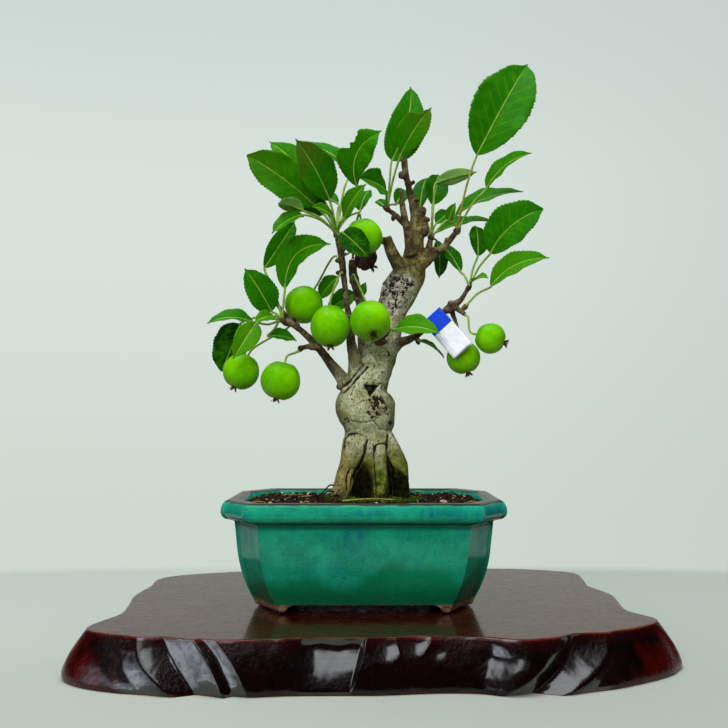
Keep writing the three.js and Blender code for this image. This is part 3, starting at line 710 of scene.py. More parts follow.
pot = {
    "rim wide": 142.0,
    "rim deep": 106.0,
    "corner wide": 13.5,
    "corner deep": 20.0,
    "corner step": 1.6,
    "foot high": 4.2,
    "drain radius": 6.5,
    "drain apart": 52.0,
    "corner cut": 1.5,
    "outside levels": 118,
    # gaps between the feet: half width at the foot and at the top, length, turned a quarter
    "channels": [(42, 34, 120, False), (20, 13, 150, True)],
    # height and inset from the rim
    "outside": [
        (0, 15.8), (1, 14.8), (4.2, 13.6), (10, 11.1), (17, 8.7), (26, 6.8), (36, 5.7), (42.5, 5.1),
        (44.4, 4.8), (45.3, 2.8), (46.4, 0.2), (48.8, -1.2), (52.6, -0.9), (54.5, 0.3), (55.15, 1.4),
        (55.3, 3), (55.2, 5), (54.6, 6.7), (53.4, 7.5), (46, 9.6), (34, 11.6), (22, 14), (13, 17), (9.5, 20),
    ],
    # blue clouds of the front: place across and up, half width, half height
    "blues": [
        (58, 50, 26, 6), (-8, 38, 14, 10), (60, 30, 7, 26), (-62, 42, 12, 14), (30, 51, 16, 3),
        (2, 51, 9, 3),
    ],
}


# Rounded outline of the pot at one inset, always with the same number of points
def potRing(height, inset):
    a = pot["rim wide"] / 2 - inset
    b = pot["rim deep"] / 2 - inset
    c, d, n = pot["corner wide"], pot["corner deep"], pot["corner step"]
    quarter = [(a, b - d), (a - n, b - d), (a - c, b - n), (a - c, b)]
    corners = []
    for sx, sy, back in ((1, 1, False), (-1, 1, True), (-1, -1, False), (1, -1, True)):
        turned = [(sx * x, sy * y) for x, y in quarter]
        corners += turned[::-1] if back else turned
    corners = np.array(corners)
    between = [0, 9, 0, 28, 0, 9, 0, 18] * 2  # points along each straight side
    ring = []
    for k, corner in enumerate(corners):
        before, after = corners[k - 1], corners[(k + 1) % 16]
        toBefore, toAfter = unit(before - corner), unit(after - corner)
        space = 0.42 * min(np.linalg.norm(before - corner), np.linalg.norm(after - corner))
        cut = min(pot["corner cut"], space)
        for part in np.linspace(0, 1, 5):
            first, last = corner + toBefore * cut, corner + toAfter * cut
            ring.append((1 - part) ** 2 * first + 2 * part * (1 - part) * corner + part ** 2 * last)
        for part in np.linspace(0, 1, between[k] + 2)[1:-1]:
            ring.append(corner + (after - corner) * part)
    return np.column_stack([np.array(ring), np.full(len(ring), height)])


def plainObject(name, heap):
    made = bpy.data.objects.new(name, makeMesh(heap, name, []))
    bpy.context.scene.collection.objects.link(made)
    return made


def cutAway(piece, cutters):
    for cutter in cutters:
        cut = piece.modifiers.new(cutter.name, "BOOLEAN")
        cut.operation, cut.object, cut.solver = "DIFFERENCE", cutter, "EXACT"
    bpy.context.view_layer.update()
    applyModifiers(piece)
    for cutter in cutters:
        bpy.data.objects.remove(cutter)


def footChannel(halfLow, halfHigh, long, turned):
    high = pot["foot high"]
    curve = [(halfLow, -1), (halfLow, 0)]
    for part in np.linspace(0.1, 1, 10):
        x = halfLow + (halfHigh - halfLow) * (part + 0.08 * math.sin(2 * math.pi * part))
        curve.append((x, high * ease(-0.08, 1, part)))
    outline = curve + [(-x, z) for x, z in curve[::-1]]
    rings = np.array([[(x, y, z) for x, z in outline] for y in (long / 2, -long / 2)])
    if turned:
        rings = np.stack([-rings[..., 1], rings[..., 0], rings[..., 2]], axis=-1)
    heap = gather()
    putLoft(heap, rings + potOrigin)
    return plainObject("channel", heap)


def drainHole(x):
    heap = gather()
    putLoft(heap, tubeRings([(x, 0, -9), (x, 0, 20)], pot["drain radius"], 40) + potOrigin)
    return plainObject("drain", heap)


def buildPot():
    outside = [(height, inset, 0) for height, inset in pot["outside"]]
    levels = smoothLine(outside, np.linspace(0, 1, pot["outside levels"]))
    rings = np.array([potRing(height, inset) for height, inset, _ in levels])
    sway = 0.22 * roughBumps(rings, 26, 5, 2) + 0.05 * bumps(rings, 5, 8)
    rings[..., :2] *= 1 + (sway / 60)[..., None]
    heap = gather()
    putLoft(heap, rings + potOrigin)
    piece = buildPiece(heap, "glazed_pot", [glaze], ["pot"])
    half = pot["drain apart"] / 2
    channels = [footChannel(*channel) for channel in pot["channels"]]
    cutAway(piece, channels + [drainHole(-half), drainHole(half)])
    piece.data.shade_smooth()
    return piece


# A soft oval on the pot's front
def ovalSpot(tree, parts, x, z, wide, high):
    squares = []
    for part, middle, half in ((parts[0], potOrigin[0] + x, wide), (parts[2], potOrigin[2] + z, high)):
        share = calc(tree, "DIVIDE", minus(tree, part, middle * mm), half * mm)
        squares.append(calc(tree, "POWER", share, 2.0))
    return fade(tree, plus(tree, *squares), 1.0, 0.0)


# Heights here are in metres above the pot's foot
def buildGlaze(tree):
    place = objectPlace(tree)
    parts = pieceOf(tree, place)
    height = minus(tree, parts[2], potOrigin[2] * mm)
    crackle = noiseOf(tree, place, 1600.0, 2.0, 0.6)
    run = fade(tree, noiseOf(tree, place, (300, 300, 60), 3.0, 0.6), 0.34, 0.66)
    blues = fade(tree, noiseOf(tree, place, 70.0, 2.0), 0.42, 0.62, 0.0, 0.28)
    for spot in pot["blues"]:
        blues = calc(tree, "MAXIMUM", blues, ovalSpot(tree, parts, *spot))
    line = fade(tree, noiseOf(tree, place, (40, 40, 8), 2.0, 0.4), 0.34, 0.66, 0.0125, 0.0285)
    drip = times(tree, noiseOf(tree, place, 240.0, 2.0), 0.002)
    pool = fade(tree, plus(tree, minus(tree, line, height), drip), -0.0022, 0.0052)
    collar = times(tree, fade(tree, height, 0.0405, 0.0435), fade(tree, height, 0.0465, 0.0448))
    seam = times(tree, fade(tree, height, 0.0448, 0.0453), fade(tree, height, 0.0467, 0.0459))
    lipLow = plus(tree, 0.0533, times(tree, noiseOf(tree, place, (160, 160, 160), 2.0), 0.0014))
    hem = plus(tree, 0.0036, times(tree, noiseOf(tree, place, 120.0, 2.0), 0.0016))
    bare = fade(tree, minus(tree, height, hem), 0.0004, -0.0003)
    color = layered(tree, mottled(tree, place, 48.0, (8, 124, 95), (24, 153, 118)), [
        (fade(tree, crackle, 0.42, 0.72, 0.0, 0.5), 1, (50, 168, 130)),
        (times(tree, blues, run), 0.6, (6, 88, 124)),
        (pool, 0.62, (4, 100, 52)),
        (fade(tree, height, 0.019, 0.007, 0.0, 0.5), 1, (4, 74, 41)),
        (collar, 0.75, (2, 74, 54)),
        (seam, 0.5, (66, 50, 34)),
        (specked(tree, place, 190.0, 0.16), 0.7, (10, 50, 40)),
        (fade(tree, minus(tree, height, lipLow), 0.0, 0.0006), 0.9, (34, 26, 19)),
        (bare, 1, mottled(tree, place, 420.0, (74, 54, 40), (150, 122, 96))),
    ])
    peel = plus(tree, noiseOf(tree, place, 520.0, 2.0), times(tree, crackle, 0.25))
    gloss = fade(tree, noiseOf(tree, place, 300.0, 2.0), 0.3, 0.7, 0.1, 0.24)
    rough = calc(tree, "MAXIMUM", gloss, times(tree, bare, 0.85))
    coat = times(tree, minus(tree, 1.0, bare), 0.35)
    relief = bumpOf(tree, peel, 0.22, 0.00035)
    return {"Base Color": color, "Roughness": rough, "Normal": relief, "Coat Weight": coat}


glaze = newMaterial("running glaze", buildGlaze, Coat_Roughness=0.06, Coat_IOR=1.4, Specular_IOR_Level=0.12)
buildPot()
print("pot made")


screenPlastic = mottledSkin(
    "screen plastic", 300.0, (24, 26, 28), (58, 54, 46), 900.0, 2.0, (0.3, 0.0002), Roughness=0.6,
)
for name in ("drain_screen_left", "drain_screen_right"):
    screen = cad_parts[name]
    screen.data.materials.clear()
    screen.data.materials.append(screenPlastic)
print("screens made")


# Tree: limbs joined into one skin, then lumps, cracks, scars and furrows worked into it

tree = {
    "voxel": 0.572,
    "soften": (0.5, 5),  # factor and rounds
    "trunk skin": (30, 90),  # sides and rings
    "root skin": (18, 24),
    "branch skin": (14, 8),  # sides, and rings for each station
    "trunk": [
        (3, 0, -18, 9), (3, -1, -4, 11.2), (2, -1, 14, 10), (1.8, 0, 28, 12), (2, 0, 36, 12.5),
        (2, 0, 42, 14.6), (0.8, 0, 49, 16.2), (0.5, 0, 54, 15.4), (0.8, 0, 60, 12.4),
        (2.8, 0, 65, 11.2), (6.6, 1, 73, 9.6), (10, 2, 83, 9.3), (13, 4, 93, 8.4),
        (16, 5, 104, 8.4), (19, 6, 111, 9.6), (22, 6, 118, 9.8), (26, 5, 125, 8.4),
        (27.5, 3, 132, 6.6), (28, 1, 141, 5.2), (30, 0, 151, 4.7), (27.5, -0.5, 160, 2.6),
        (25, -1, 169, 1.8), (23, -2, 178, 1.8), (22, -3, 187, 1.9),
    ],
    "roots": [
        [(-5, -3, 32, 6), (-8, -6.5, 20, 4.8), (-11, -10, 9, 5), (-13, -12, 0, 5), (-13, -14, -10, 3.5)],
        [(8, -6, 30, 5), (8, -11, 20, 4), (9, -14, 8, 4), (9, -16, 0, 4), (10, -17, -10, 3)],
        [(10, -2, 33, 6.4), (17, -3, 21, 6), (19.5, -4, 9, 4.8), (20, -5, 0, 4.6), (21, -6, -10, 3.2)],
        [(-5, 6, 28, 6), (-10, 10, 13, 5.2), (-13, 13, 0, 4.6), (-15, 15, -10, 3)],
        [(9, 8, 28, 6), (13, 12, 13, 5.2), (16, 15, 0, 4.6), (18, 17, -10, 3)],
    ],
}
branches = {
    "rightUpper": [
        (28, 2, 128, 6), (34, 1, 131, 4), (38, 0, 134, 2.8), (42, -1, 136, 2.2),
        (46, -1, 140, 1.8), (50, -2, 145, 1.7),
    ],
    "greyStub": [(23, 2, 122, 5), (18, -3, 129, 3.9), (14, -8, 136, 3.3), (12.5, -10, 141.5, 2.4)],
    "midStub": [(26, -3, 133, 3.6), (24, -7, 142, 2.4), (21, -10, 157, 1.8), (20, -11, 167, 1.2)],
    "centreSpur": [(29, 1, 148, 2.6), (22, 0, 151, 1.9), (18, 0, 155, 1.6), (14, 0, 158, 1.4)],
    "uprightFront": [
        (0, -2, 58, 5), (-4, -6, 66, 4.6), (-5, -10, 75, 3.6), (-7, -12, 85, 2.5), (-7, -13, 94, 2),
        (-9, -14, 103, 1.7), (-10, -15, 113, 1.6), (-11, -16, 121, 1.8), (-12, -18, 130, 2),
        (-14, -20, 139, 1.6),
    ],
    "uprightBack": [
        (5, 0, 68, 6), (1, 1, 76, 3.6), (-1, 2, 85, 2.7), (-1, 3, 97, 2.5), (-2, 2, 107, 2.6),
        (-4, 0, 115, 2.7), (-6, -3, 122, 2.5), (-6, -5, 130, 2.3),
    ],
    "leftLow": [
        (-1, 0, 55, 6), (-9, -3, 62, 4.4), (-17, -9, 72, 2.8), (-25, -15, 82, 2.1),
        (-31, -18, 88, 1.8), (-36, -20, 92, 1.7), (-40, -21, 96, 1.5), (-44, -21, 101, 1.3),
        (-47, -20, 106, 1.1),
    ],
    "leftBud": [(-35, -20, 91, 1.5), (-38, -23, 93, 1.6), (-41, -25, 94, 1.4)],
    "leftSpur": [(-24, -14, 81, 1.8), (-31, -19, 81, 1.4), (-34, -21, 79, 1.2)],
    "rightLow": [
        (13, -1, 80, 5), (19, -4, 84.5, 3), (24, -7, 86, 2.3), (28, -10, 88, 1.9), (32, -13, 91, 1.7),
        (37, -15, 96, 1.6), (42, -16, 100, 1.7), (45, -17, 102, 2.1), (48, -17, 104, 1.9),
        (51, -16, 106, 1.5), (55, -14, 112, 1.2),
    ],
    "rightSpur": [(47, -17, 103, 1.7), (51, -19, 100, 1.4), (53, -21, 98, 1.2)],
    "rightHangSpur": [(46, -16, 102, 1.6), (48, -14, 97, 1.3), (49, -13, 95, 1.2)],
    "behindSpur": [(30, 2, 128, 4), (35, 4, 135, 2.6), (37, 6, 143, 1.6)],
    "lowSpur": [(8, -4, 84, 3), (9, -9, 86, 2), (11, -12, 88, 1.4)],
}
# bud knobs and broken twig ends: place, radius, stretch upwards
knobs = [
    (20.8, -3.2, 177, 2.3, 1), (24.6, -2, 172, 1.7, 1), (27.2, -1.8, 173.5, 1.1, 1.4),
    (29.5, -3.5, 163.5, 1.5, 1), (31.5, -2, 157, 3, 1.1), (34.6, 0, 153, 1.9, 0.9), (33, -3, 146, 2.8, 1.3),
    (16, -1.5, 153.5, 1.3, 1.6), (-11.5, -18.5, 134, 2.4, 1), (-13.5, -19, 127, 1.9, 0.8),
    (-9.5, -15, 108, 2, 0.8), (-6.5, -12, 97, 2.3, 0.8), (-5.5, -3.5, 119, 3, 1), (-2.5, 1, 109, 3, 0.9),
    (-0.5, 3, 93, 3, 0.9), (46.5, -18, 104, 2.6, 0.8), (44, -17.4, 100.5, 2.2, 0.8),
    (49, -16.5, 104.5, 2.3, 0.8), (-33, -20.5, 80.5, 1.8, 0.9), (-40.5, -23.5, 93.5, 2.4, 0.9),
    (-35.5, -21, 92.5, 2.1, 0.9), (-12, -5, 61, 3.4, 0.7), (9, -7.5, 85.5, 2.6, 0.9),
    (38, -0.5, 135.5, 3, 0.9), (46, -1.5, 141, 2.3, 0.9), (11, -6, 140, 2.8, 0.8), (15, -8, 133, 3.6, 0.8),
    (-3.5, -5, 61.5, 5, 0.7),
]
furrows = [
    # half width, depth, darkness, then places across and up on the front
    (0.7, 1.8, 1.0, [
        (1.6, 31.9), (0.5, 28.3), (-0.4, 23.8), (-2.2, 19.7), (-4.5, 15.7), (-5.9, 10.2), (-6.8, 2),
    ]),
    (0.55, 1.2, 0.9, [(5.9, 28.3), (4.8, 24.7), (5.0, 20.2), (5.5, 14.7), (5.9, 8.0), (5.9, 1)]),
    (0.6, 1.3, 1.0, [(12.8, 34.5), (12.1, 29.2), (11.9, 25.6), (12.8, 21.1), (15.0, 17), (15.5, 8)]),
    (0.45, 0.7, 0.8, [
        (-10.7, 27), (-10.6, 31), (-9.6, 33.6), (-7.4, 35.2), (-4.1, 35.6), (-0.9, 34.6), (1.6, 32.6),
    ]),
    (0.42, 0.6, 0.7, [(5.0, 27), (6.0, 29.2), (8.2, 30.4), (10.4, 30.2), (12, 29)]),
    (0.5, 0.6, 0.9, [(-7.5, 17.0), (-9.1, 13.4), (-9.3, 9.8), (-8.8, 6)]),
    (0.5, 0.4, 0.5, [
        (-7, 42.5), (-2.2, 41.7), (1.4, 41.9), (5.0, 42.4), (7.5, 39.5), (8.7, 37.8), (12.8, 37.4),
    ]),
    (0.6, 0.6, 0.7, [(-12.8, 58.8), (-8, 63.4), (-3.2, 68.4), (0, 73)]),
    (0.6, 0.6, 0.7, [(-11.2, 57.6), (-6.8, 61.8), (-2.2, 66.4), (2, 71)]),
    (0.45, 0.5, 0.8, [(11.0, 81.5), (13, 79.6), (14, 77.6), (15.8, 77)]),
    (0.45, 0.5, 0.7, [(8, 62.5), (11, 61), (13, 58.5), (14.2, 55)]),
    (0.4, 0.4, 0.6, [(-13, 38), (-11, 40.5), (-7, 42.5)]),
    (0.4, 0.35, 0.5, [(-3.5, 51), (-1.5, 53), (1.2, 53.2)]),
]
scars = [
    # place across and up on the front, radius, roughness
    (3.4, 54, 1.8, 0.7), (6.5, 51.5, 2.2, 0.8), (9.2, 53.4, 2.2, 0.7), (11, 50.5, 1.8, 0.7),
    (4, 48.6, 2.0, 0.8), (7.2, 47.6, 1.7, 0.7), (3.6, 44.8, 1.7, 0.8), (6.4, 45.6, 1.6, 0.7),
    (12.6, 45.4, 1.4, 0.6), (-3, 51.4, 1.1, 0.5), (-9, 42, 2.2, 0.5), (-11.5, 39.5, 1.8, 0.6),
    (14.6, 41, 1.7, 0.6),
]
knot = {"corners": [(-0.3, 61.8), (3.2, 54.9), (7.8, 61.4)], "stub": (2.9, 59.4), "deep": 5.0}
wound = {"place": (7, 50.2), "size": (6.3, 7.2)}
callus = {"place": (19.5, 2, 112), "radius": 13.5}
# hollows under the front of the roots: place across and up, half width, half height
hollows = {
    "middle": {"oval": (-0.2, 5, 6.6, 17), "full": 0.6, "deep": 6},
    "right": {"oval": (17.5, 6, 5.5, 10), "full": 0.5, "deep": 2.5},
}


def putLimb(heap, stations, sides, samples, seat):
    stations = np.array(stations, float)
    shares = np.linspace(0, 1, samples)
    line = smoothLine(stations[:, :3], shares)
    radii = smoothValues(stations[:, 3], shares)
    putLoft(heap, tubeRings(line, radii, sides) + treeOrigin)
    seat += [(*place, radius) for place, radius in zip(line, radii)]


def putKnob(heap, x, y, z, radius, stretch, seat):
    around = np.linspace(0, 2 * math.pi, 12, endpoint=False)
    rings = []
    for t in np.linspace(-math.pi / 2, math.pi / 2, 9)[1:-1]:
        reach = radius * math.cos(t) * (1 + 0.18 * np.sin(3 * around + x + 2 * t))
        up = np.full(12, z + radius * stretch * math.sin(t))
        rings.append(np.column_stack([x + reach * np.cos(around), y + reach * np.sin(around), up]))
    putLoft(heap, np.array(rings) + treeOrigin)
    seat.append((x, y, z, radius))


# How far each place on the front lies from a line drawn there
def awayFromLine(places, line):
    best = np.full(len(places), 1e9)
    for (x0, z0), (x1, z1) in zip(line, line[1:]):
        way = np.array([x1 - x0, z1 - z0])
        part = np.clip(((places - (x0, z0)) @ way) / (way @ way), 0, 1)
        near = np.array([x0, z0]) + part[:, None] * way
        best = np.minimum(best, np.linalg.norm(places - near, axis=1))
    return best


# Radius of the limb that each place belongs to
def thicknessAt(places, seat):
    found = []
    for group in np.array_split(places, 1 + len(places) // 8000):
        away = np.linalg.norm(group[:, None] - seat[None, :, :3], axis=2) - seat[:, 3]
        found.append(seat[np.argmin(away, axis=1), 3])
    return np.concatenate(found)


# How far inside a triangle each place lies, its corners given in order
def insideTriangle(flat, corners):
    depth = np.full(len(flat), 1e9)
    for start, end in zip(corners, corners[1:] + corners[:1]):
        way = unit(np.array(end) - np.array(start))
        depth = np.minimum(depth, (flat - start) @ np.array([-way[1], way[0]]))
    return depth


def joinLimbs():
    heap, seat = gather(), []
    putLimb(heap, tree["trunk"], *tree["trunk skin"], seat)
    for leg in tree["roots"]:
        putLimb(heap, leg, *tree["root skin"], seat)
    sides, rings = tree["branch skin"]
    for stations in branches.values():
        putLimb(heap, stations, sides, rings * len(stations), seat)
    for knob in knobs:
        putKnob(heap, *knob, seat)
    rough = plainObject("joined limbs", heap)
    remesh = rough.modifiers.new("one skin", "REMESH")
    remesh.mode, remesh.voxel_size, remesh.use_smooth_shade = "VOXEL", tree["voxel"] * mm, True
    soften = rough.modifiers.new("soften", "SMOOTH")
    soften.factor, soften.iterations = tree["soften"]
    bpy.context.view_layer.update()
    mesh = applyModifiers(rough)
    bpy.data.objects.remove(rough)
    return mesh, np.array(seat)


# What the carving steps share: places, ways out, how stout the limb is, and the lift and the painted crevice
# shade so far
def readSkin(mesh, seat):
    found = []
    for points, value in ((mesh.vertices, "co"), (mesh.vertex_normals, "vector")):
        numbers = np.empty(len(points) * 3)
        points.foreach_get(value, numbers)
        found.append(numbers.reshape(-1, 3))
    places, outward = found[0] / mm - treeOrigin, found[1]
    skin = {"places": places, "outward": outward, "flat": places[:, [0, 2]]}
    skin["stout"] = ease(1.2, 8, thicknessAt(places, seat))
    skin["front"] = ease(0.15, 0.6, -outward[:, 1])
    skin["lift"], skin["dark"] = np.zeros(len(places)), np.zeros(len(places))
    return skin


# Paints shade into the bark's crevices: cracks, furrows, scar pits, splits and the knot's pit
def paintCreviceShade(skin, amount):
    skin["dark"] = np.maximum(skin["dark"], amount)


def roughen(skin):
    places, stout = skin["places"], skin["stout"]
    skin["lift"] += stout * 0.75 * roughBumps(places, 11, 1, 2) + 0.2 * stout * bumps(places, 3.4, 4)
    skin["lift"] += (1 - stout) * 0.16 * bumps(places, 2.2, 5)
    plates = np.abs(roughBumps(places * (1, 1, 0.55), 2.6, 9, 2))
    cracks = ease(0.16, 0.02, plates) * ease(0.1, 0.6, bumps(places, 9, 12) + 0.35)
    skin["lift"] -= cracks * (0.12 + 0.1 * stout)
    paintCreviceShade(skin, cracks * 0.55)


def carveFurrows(skin):
    wobble = 0.35 * bumps(skin["places"], 2.0, 21)
    for wide, deep, darkness, line in furrows:
        away = awayFromLine(skin["flat"], line) + wobble
        cut = np.exp(-np.clip(away / wide, 0, 9) ** 2) * skin["front"]
        edge = np.exp(-((away - 2.1 * wide) / wide) ** 2) * skin["front"]
        skin["lift"] += -deep * cut + 0.16 * deep * edge
        paintCreviceShade(skin, darkness * cut)


def carveScars(skin):
    ragged, torn = 0.4 * bumps(skin["places"], 1.4, 31), bumps(skin["places"], 0.9, 33)
    for x, z, radius, roughness in scars:
        away = np.linalg.norm(skin["flat"] - (x, z), axis=1) / radius
        inside = ease(1.3, 0.5, away + ragged) * skin["front"]
        skin["lift"] += inside * roughness * (0.7 * torn - 0.35)
        paintCreviceShade(skin, inside * ease(0.05, -0.25, torn))


def workCallus(skin):
    places = skin["places"]
    away = np.linalg.norm(places - callus["place"], axis=1) / callus["radius"]
    corky = ease(1.05, 0.75, away + 0.25 * bumps(places, 4, 41)) * ease(30.5, 27, places[:, 0])
    turned = skin["outward"] @ unit([1, 0.3, -0.1]) * 0.5 + 0.12 * bumps(places, 5, 43)
    corky *= ease(0.35, -0.1, turned)
    cork = roughBumps(places * (1, 1, 1.4), 2.3, 42, 2)
    split = ease(0.2, 0.04, np.abs(cork)) * ease(-0.5, 0.1, bumps(places, 6, 45))
    skin["lift"] += corky * (0.45 * cork + 0.45 - 0.9 * split)
    paintCreviceShade(skin, corky * np.maximum(split, 0.9 * ease(-0.2, -0.6, cork)))
    return corky


# A pit with a stub of old wood in it and a raised rim round it; the pit is painted dark as painted shade, the
# stub less
def openKnot(skin):
    inside = insideTriangle(skin["flat"], knot["corners"]) + 0.35 * bumps(skin["places"], 1.6, 51)
    stub = ease(2.0, 1.1, np.linalg.norm(skin["flat"] - knot["stub"], axis=1))
    pit = ease(-0.4, 0.7, inside) * ease(0, 0.3, skin["front"])
    skin["places"][:, 1] += knot["deep"] * pit * (1 - 0.6 * stub)
    paintCreviceShade(skin, pit * (1 - 0.35 * stub))
    skin["lift"] += 0.5 * np.exp(-((inside + 1.3) / 0.8) ** 2) * skin["front"]


def tearWound(skin):
    away = np.linalg.norm((skin["flat"] - wound["place"]) / wound["size"], axis=1)
    torn = ease(1.05, 0.8, away + 0.3 * bumps(skin["places"], 3.1, 55)) * skin["front"]
    ragged = roughBumps(skin["places"], 1.8, 58, 3)
    skin["lift"] += torn * (ragged - 0.35)
    paintCreviceShade(skin, torn * ease(-0.02, -0.2, ragged))
    return torn


def hollowAt(skin, form):
    x, z, wide, high = form["oval"]
    away = np.hypot((skin["places"][:, 0] - x) / wide, (skin["places"][:, 2] - z) / high)
    return ease(1, form["full"], away) * skin["front"]


# Where the foot is mossy, and where it lies in shade or carries dark, damp moss
def coverFoot(places, front, hollow, arched):
    mossy = ease(37, 15, places[:, 2] + 6 * bumps(places, 6, 71))
    mossy *= ease(-1.0, 0.0, roughBumps(places, 5, 72, 2))
    mossy *= 0.7 + 0.3 * ease(-7, 2, places[:, 0])
    below = 23.0 - 0.92 * (places[:, 0] - 11.6) + 1.2 * bumps(places, 2.5, 76)
    matted = ease(-1.2, 1.2, below - places[:, 2]) * ease(11.2, 12.6, places[:, 0]) * front
    hairy = ease(0.5, -0.1, roughBumps(places, 1.6, 77, 2))
    speckled = ease(16, 8, places[:, 2]) * ease(0.3, 0.0, roughBumps(places, 2.0, 78, 2))
    speckled = speckled * ease(-5, 6, places[:, 0])
    shade = np.maximum(np.maximum(hollow, arched), ease(6, -1, places[:, 2] + 3 * bumps(places, 3, 75)))
    return mossy, np.maximum(np.maximum(shade, matted * (0.7 + 0.3 * hairy)), 0.85 * speckled)


def buildTree():
    mesh, seat = joinLimbs()
    skin = readSkin(mesh, seat)
    places, outward, stout = skin["places"], skin["outward"], skin["stout"]
    roughen(skin)
    carveFurrows(skin)
    carveScars(skin)
    corky = workCallus(skin)
    openKnot(skin)
    torn = tearWound(skin)
    foot = ease(14, 2, places[:, 2]) * ease(0, 1, stout)
    skin["lift"] += foot * 0.5 * roughBumps(places, 3.2, 61, 2)
    hollow, arched = hollowAt(skin, hollows["middle"]), hollowAt(skin, hollows["right"])
    places[:, 1] += hollows["middle"]["deep"] * hollow * ease(-18, -11, places[:, 1])
    places[:, 1] += hollows["right"]["deep"] * arched
    places += outward * (skin["lift"] * ease(-6, 0, places[:, 2]))[:, None]
    mossy, shade = coverFoot(places, skin["front"], hollow, arched)
    mesh.vertices.foreach_set("co", ((places + treeOrigin) * mm).reshape(-1))
    mesh.name = "crabapple_tree"
    found = {
        "dark": skin["dark"], "moss": mossy, "stout": stout, "corky": corky, "shade": shade, "torn": torn,
        # sides facing left and right: partly an olive moss tint, partly painted shade on the trunk's flanks
        "flank_moss_and_shade": np.abs(outward[:, 0]),
    }
    for name, value in found.items():
        mesh.attributes.new(name, "FLOAT", "POINT").data.foreach_set("value", value.astype(np.float32))
    mesh.materials.append(bark)
    mesh.shade_smooth()
    mesh.update()
    print("tree faces", len(mesh.polygons))
    return placePiece(mesh, ["tree"])


# Heights here are in metres above the soil
def buildBark(tree):
    place = objectPlace(tree)
    right, _, up = pieceOf(tree, place)
    height = minus(tree, up, treeOrigin[2] * mm)
    stout = fade(tree, pointValue(tree, "stout"), 0.06, 0.5)
    warm = noiseOf(tree, place, 62.0, 3.0)
    streaks = noiseOf(tree, place, (900, 900, 240), 3.0, 0.65)
    clouds = fade(tree, noiseOf(tree, place, 210.0, 3.0, 0.6), 0.42, 0.66)
    stains = fade(tree, noiseOf(tree, place, 115.0, 4.0, 0.62), 0.5, 0.64, 0.0, 0.4)
    patches = fade(tree, noiseOf(tree, place, 170.0, 3.0), 0.42, 0.6)
    lenticels = noiseOf(tree, place, (500, 500, 1900), 2.0, 0.5)
    upper = fade(tree, height, 0.108, 0.128)
    lower = times(tree, fade(tree, height, 0.036, 0.016), 0.75)
    pale = layered(tree, mottled(tree, place, 150.0, (146, 151, 100), (216, 221, 185)), [
        (fade(tree, warm, 0.48, 0.7, 0.0, 0.5), 1, (184, 176, 112)),
        (calc(tree, "MAXIMUM", upper, lower), 1, mottled(tree, place, 230.0, (66, 58, 27), (154, 143, 88))),
    ])
    leftward = fade(tree, right, (treeOrigin[0] - 4) * mm, (treeOrigin[0] - 9) * mm)
    green = mottled(tree, place, 330.0, (34, 62, 6), (130, 138, 26))
    rusty = mottled(tree, place, 330.0, (88, 58, 16), (160, 148, 62))
    color = layered(tree, mottled(tree, place, 260.0, (50, 37, 25), (138, 122, 88)), [
        (stout, 1, pale),
        (fade(tree, streaks, 0.52, 0.68, 0.0, 0.6), 1, (98, 88, 52)),
        (specked(tree, place, 620.0, 0.42), 0.8, (44, 36, 20)),
        (times(tree, stains, stout), 1, (112, 112, 56)),
        (times(tree, specked(tree, place, 1150.0, 0.5), clouds), 0.8, (58, 52, 28)),
        # olive flanks: partly moss, partly painted shade
        (times(tree, fade(tree, pointValue(tree, "flank_moss_and_shade"), 0.5, 0.95), stout), 0.6, (96, 92, 38)),
        (times(tree, minus(tree, 1.0, stout), patches), 0.7, (48, 34, 24)),
        (fade(tree, lenticels, 0.66, 0.74, 0.0, 0.65), 1, (66, 54, 40)),
        (pointValue(tree, "corky"), 0.9, mottled(tree, place, 380.0, (120, 112, 92), (214, 208, 190))),
        (pointValue(tree, "torn"), 0.7, mottled(tree, place, 520.0, (84, 68, 40), (206, 196, 150))),
        (pointValue(tree, "moss"), 0.9, mixed(tree, leftward, green, rusty)),
        (fade(tree, height, 0.009, 0.0), 0.4, (70, 56, 26)),
        (pointValue(tree, "shade"), 1, mottled(tree, place, 420.0, (4, 5, 2), (30, 30, 12))),
        # painted shade in the cracks, furrows, scar pits, splits and the knot's pit
        (fade(tree, pointValue(tree, "dark"), 0.22, 0.62, 0.0, 0.95), 1, (22, 18, 11)),
    ])
    relief = plus(tree, noiseOf(tree, place, 1100.0, 3.0, 0.65), times(tree, streaks, 0.7))
    rough = fade(tree, warm, 0.3, 0.7, 0.72, 0.92)
    return {"Base Color": color, "Roughness": rough, "Normal": bumpOf(tree, relief, 0.55, 0.0006)}


bark = newMaterial("bark", buildBark, Specular_IOR_Level=0.2)
buildTree()
print("tree made")


# A seat on a branch: at its end, or at one of its stations on the side facing a given place
def seatOn(limb, index=None, toward=None):
    stations = np.array(branches[limb], float)
    if index is None:
        ahead = unit(stations[-1, :3] - stations[-2, :3])
        start = stations[-1, :3] + layout["seat gap"] * ahead
        return {"start": start, "ahead": ahead, "radius": stations[-1, 3]}
    centre = stations[index, :3]
    limbWay = unit(stations[index + 1, :3] - centre)
    ahead = np.array(toward, float) - centre
    ahead = unit(ahead - limbWay * ahead.dot(limbWay))
    start = centre + ahead * (stations[index, 3] + layout["seat gap"])
    return {"start": start, "ahead": ahead, "radius": 1.2}


# Leaves: oval, pointed and toothed, folded and arched along the midrib, with sunken side veins

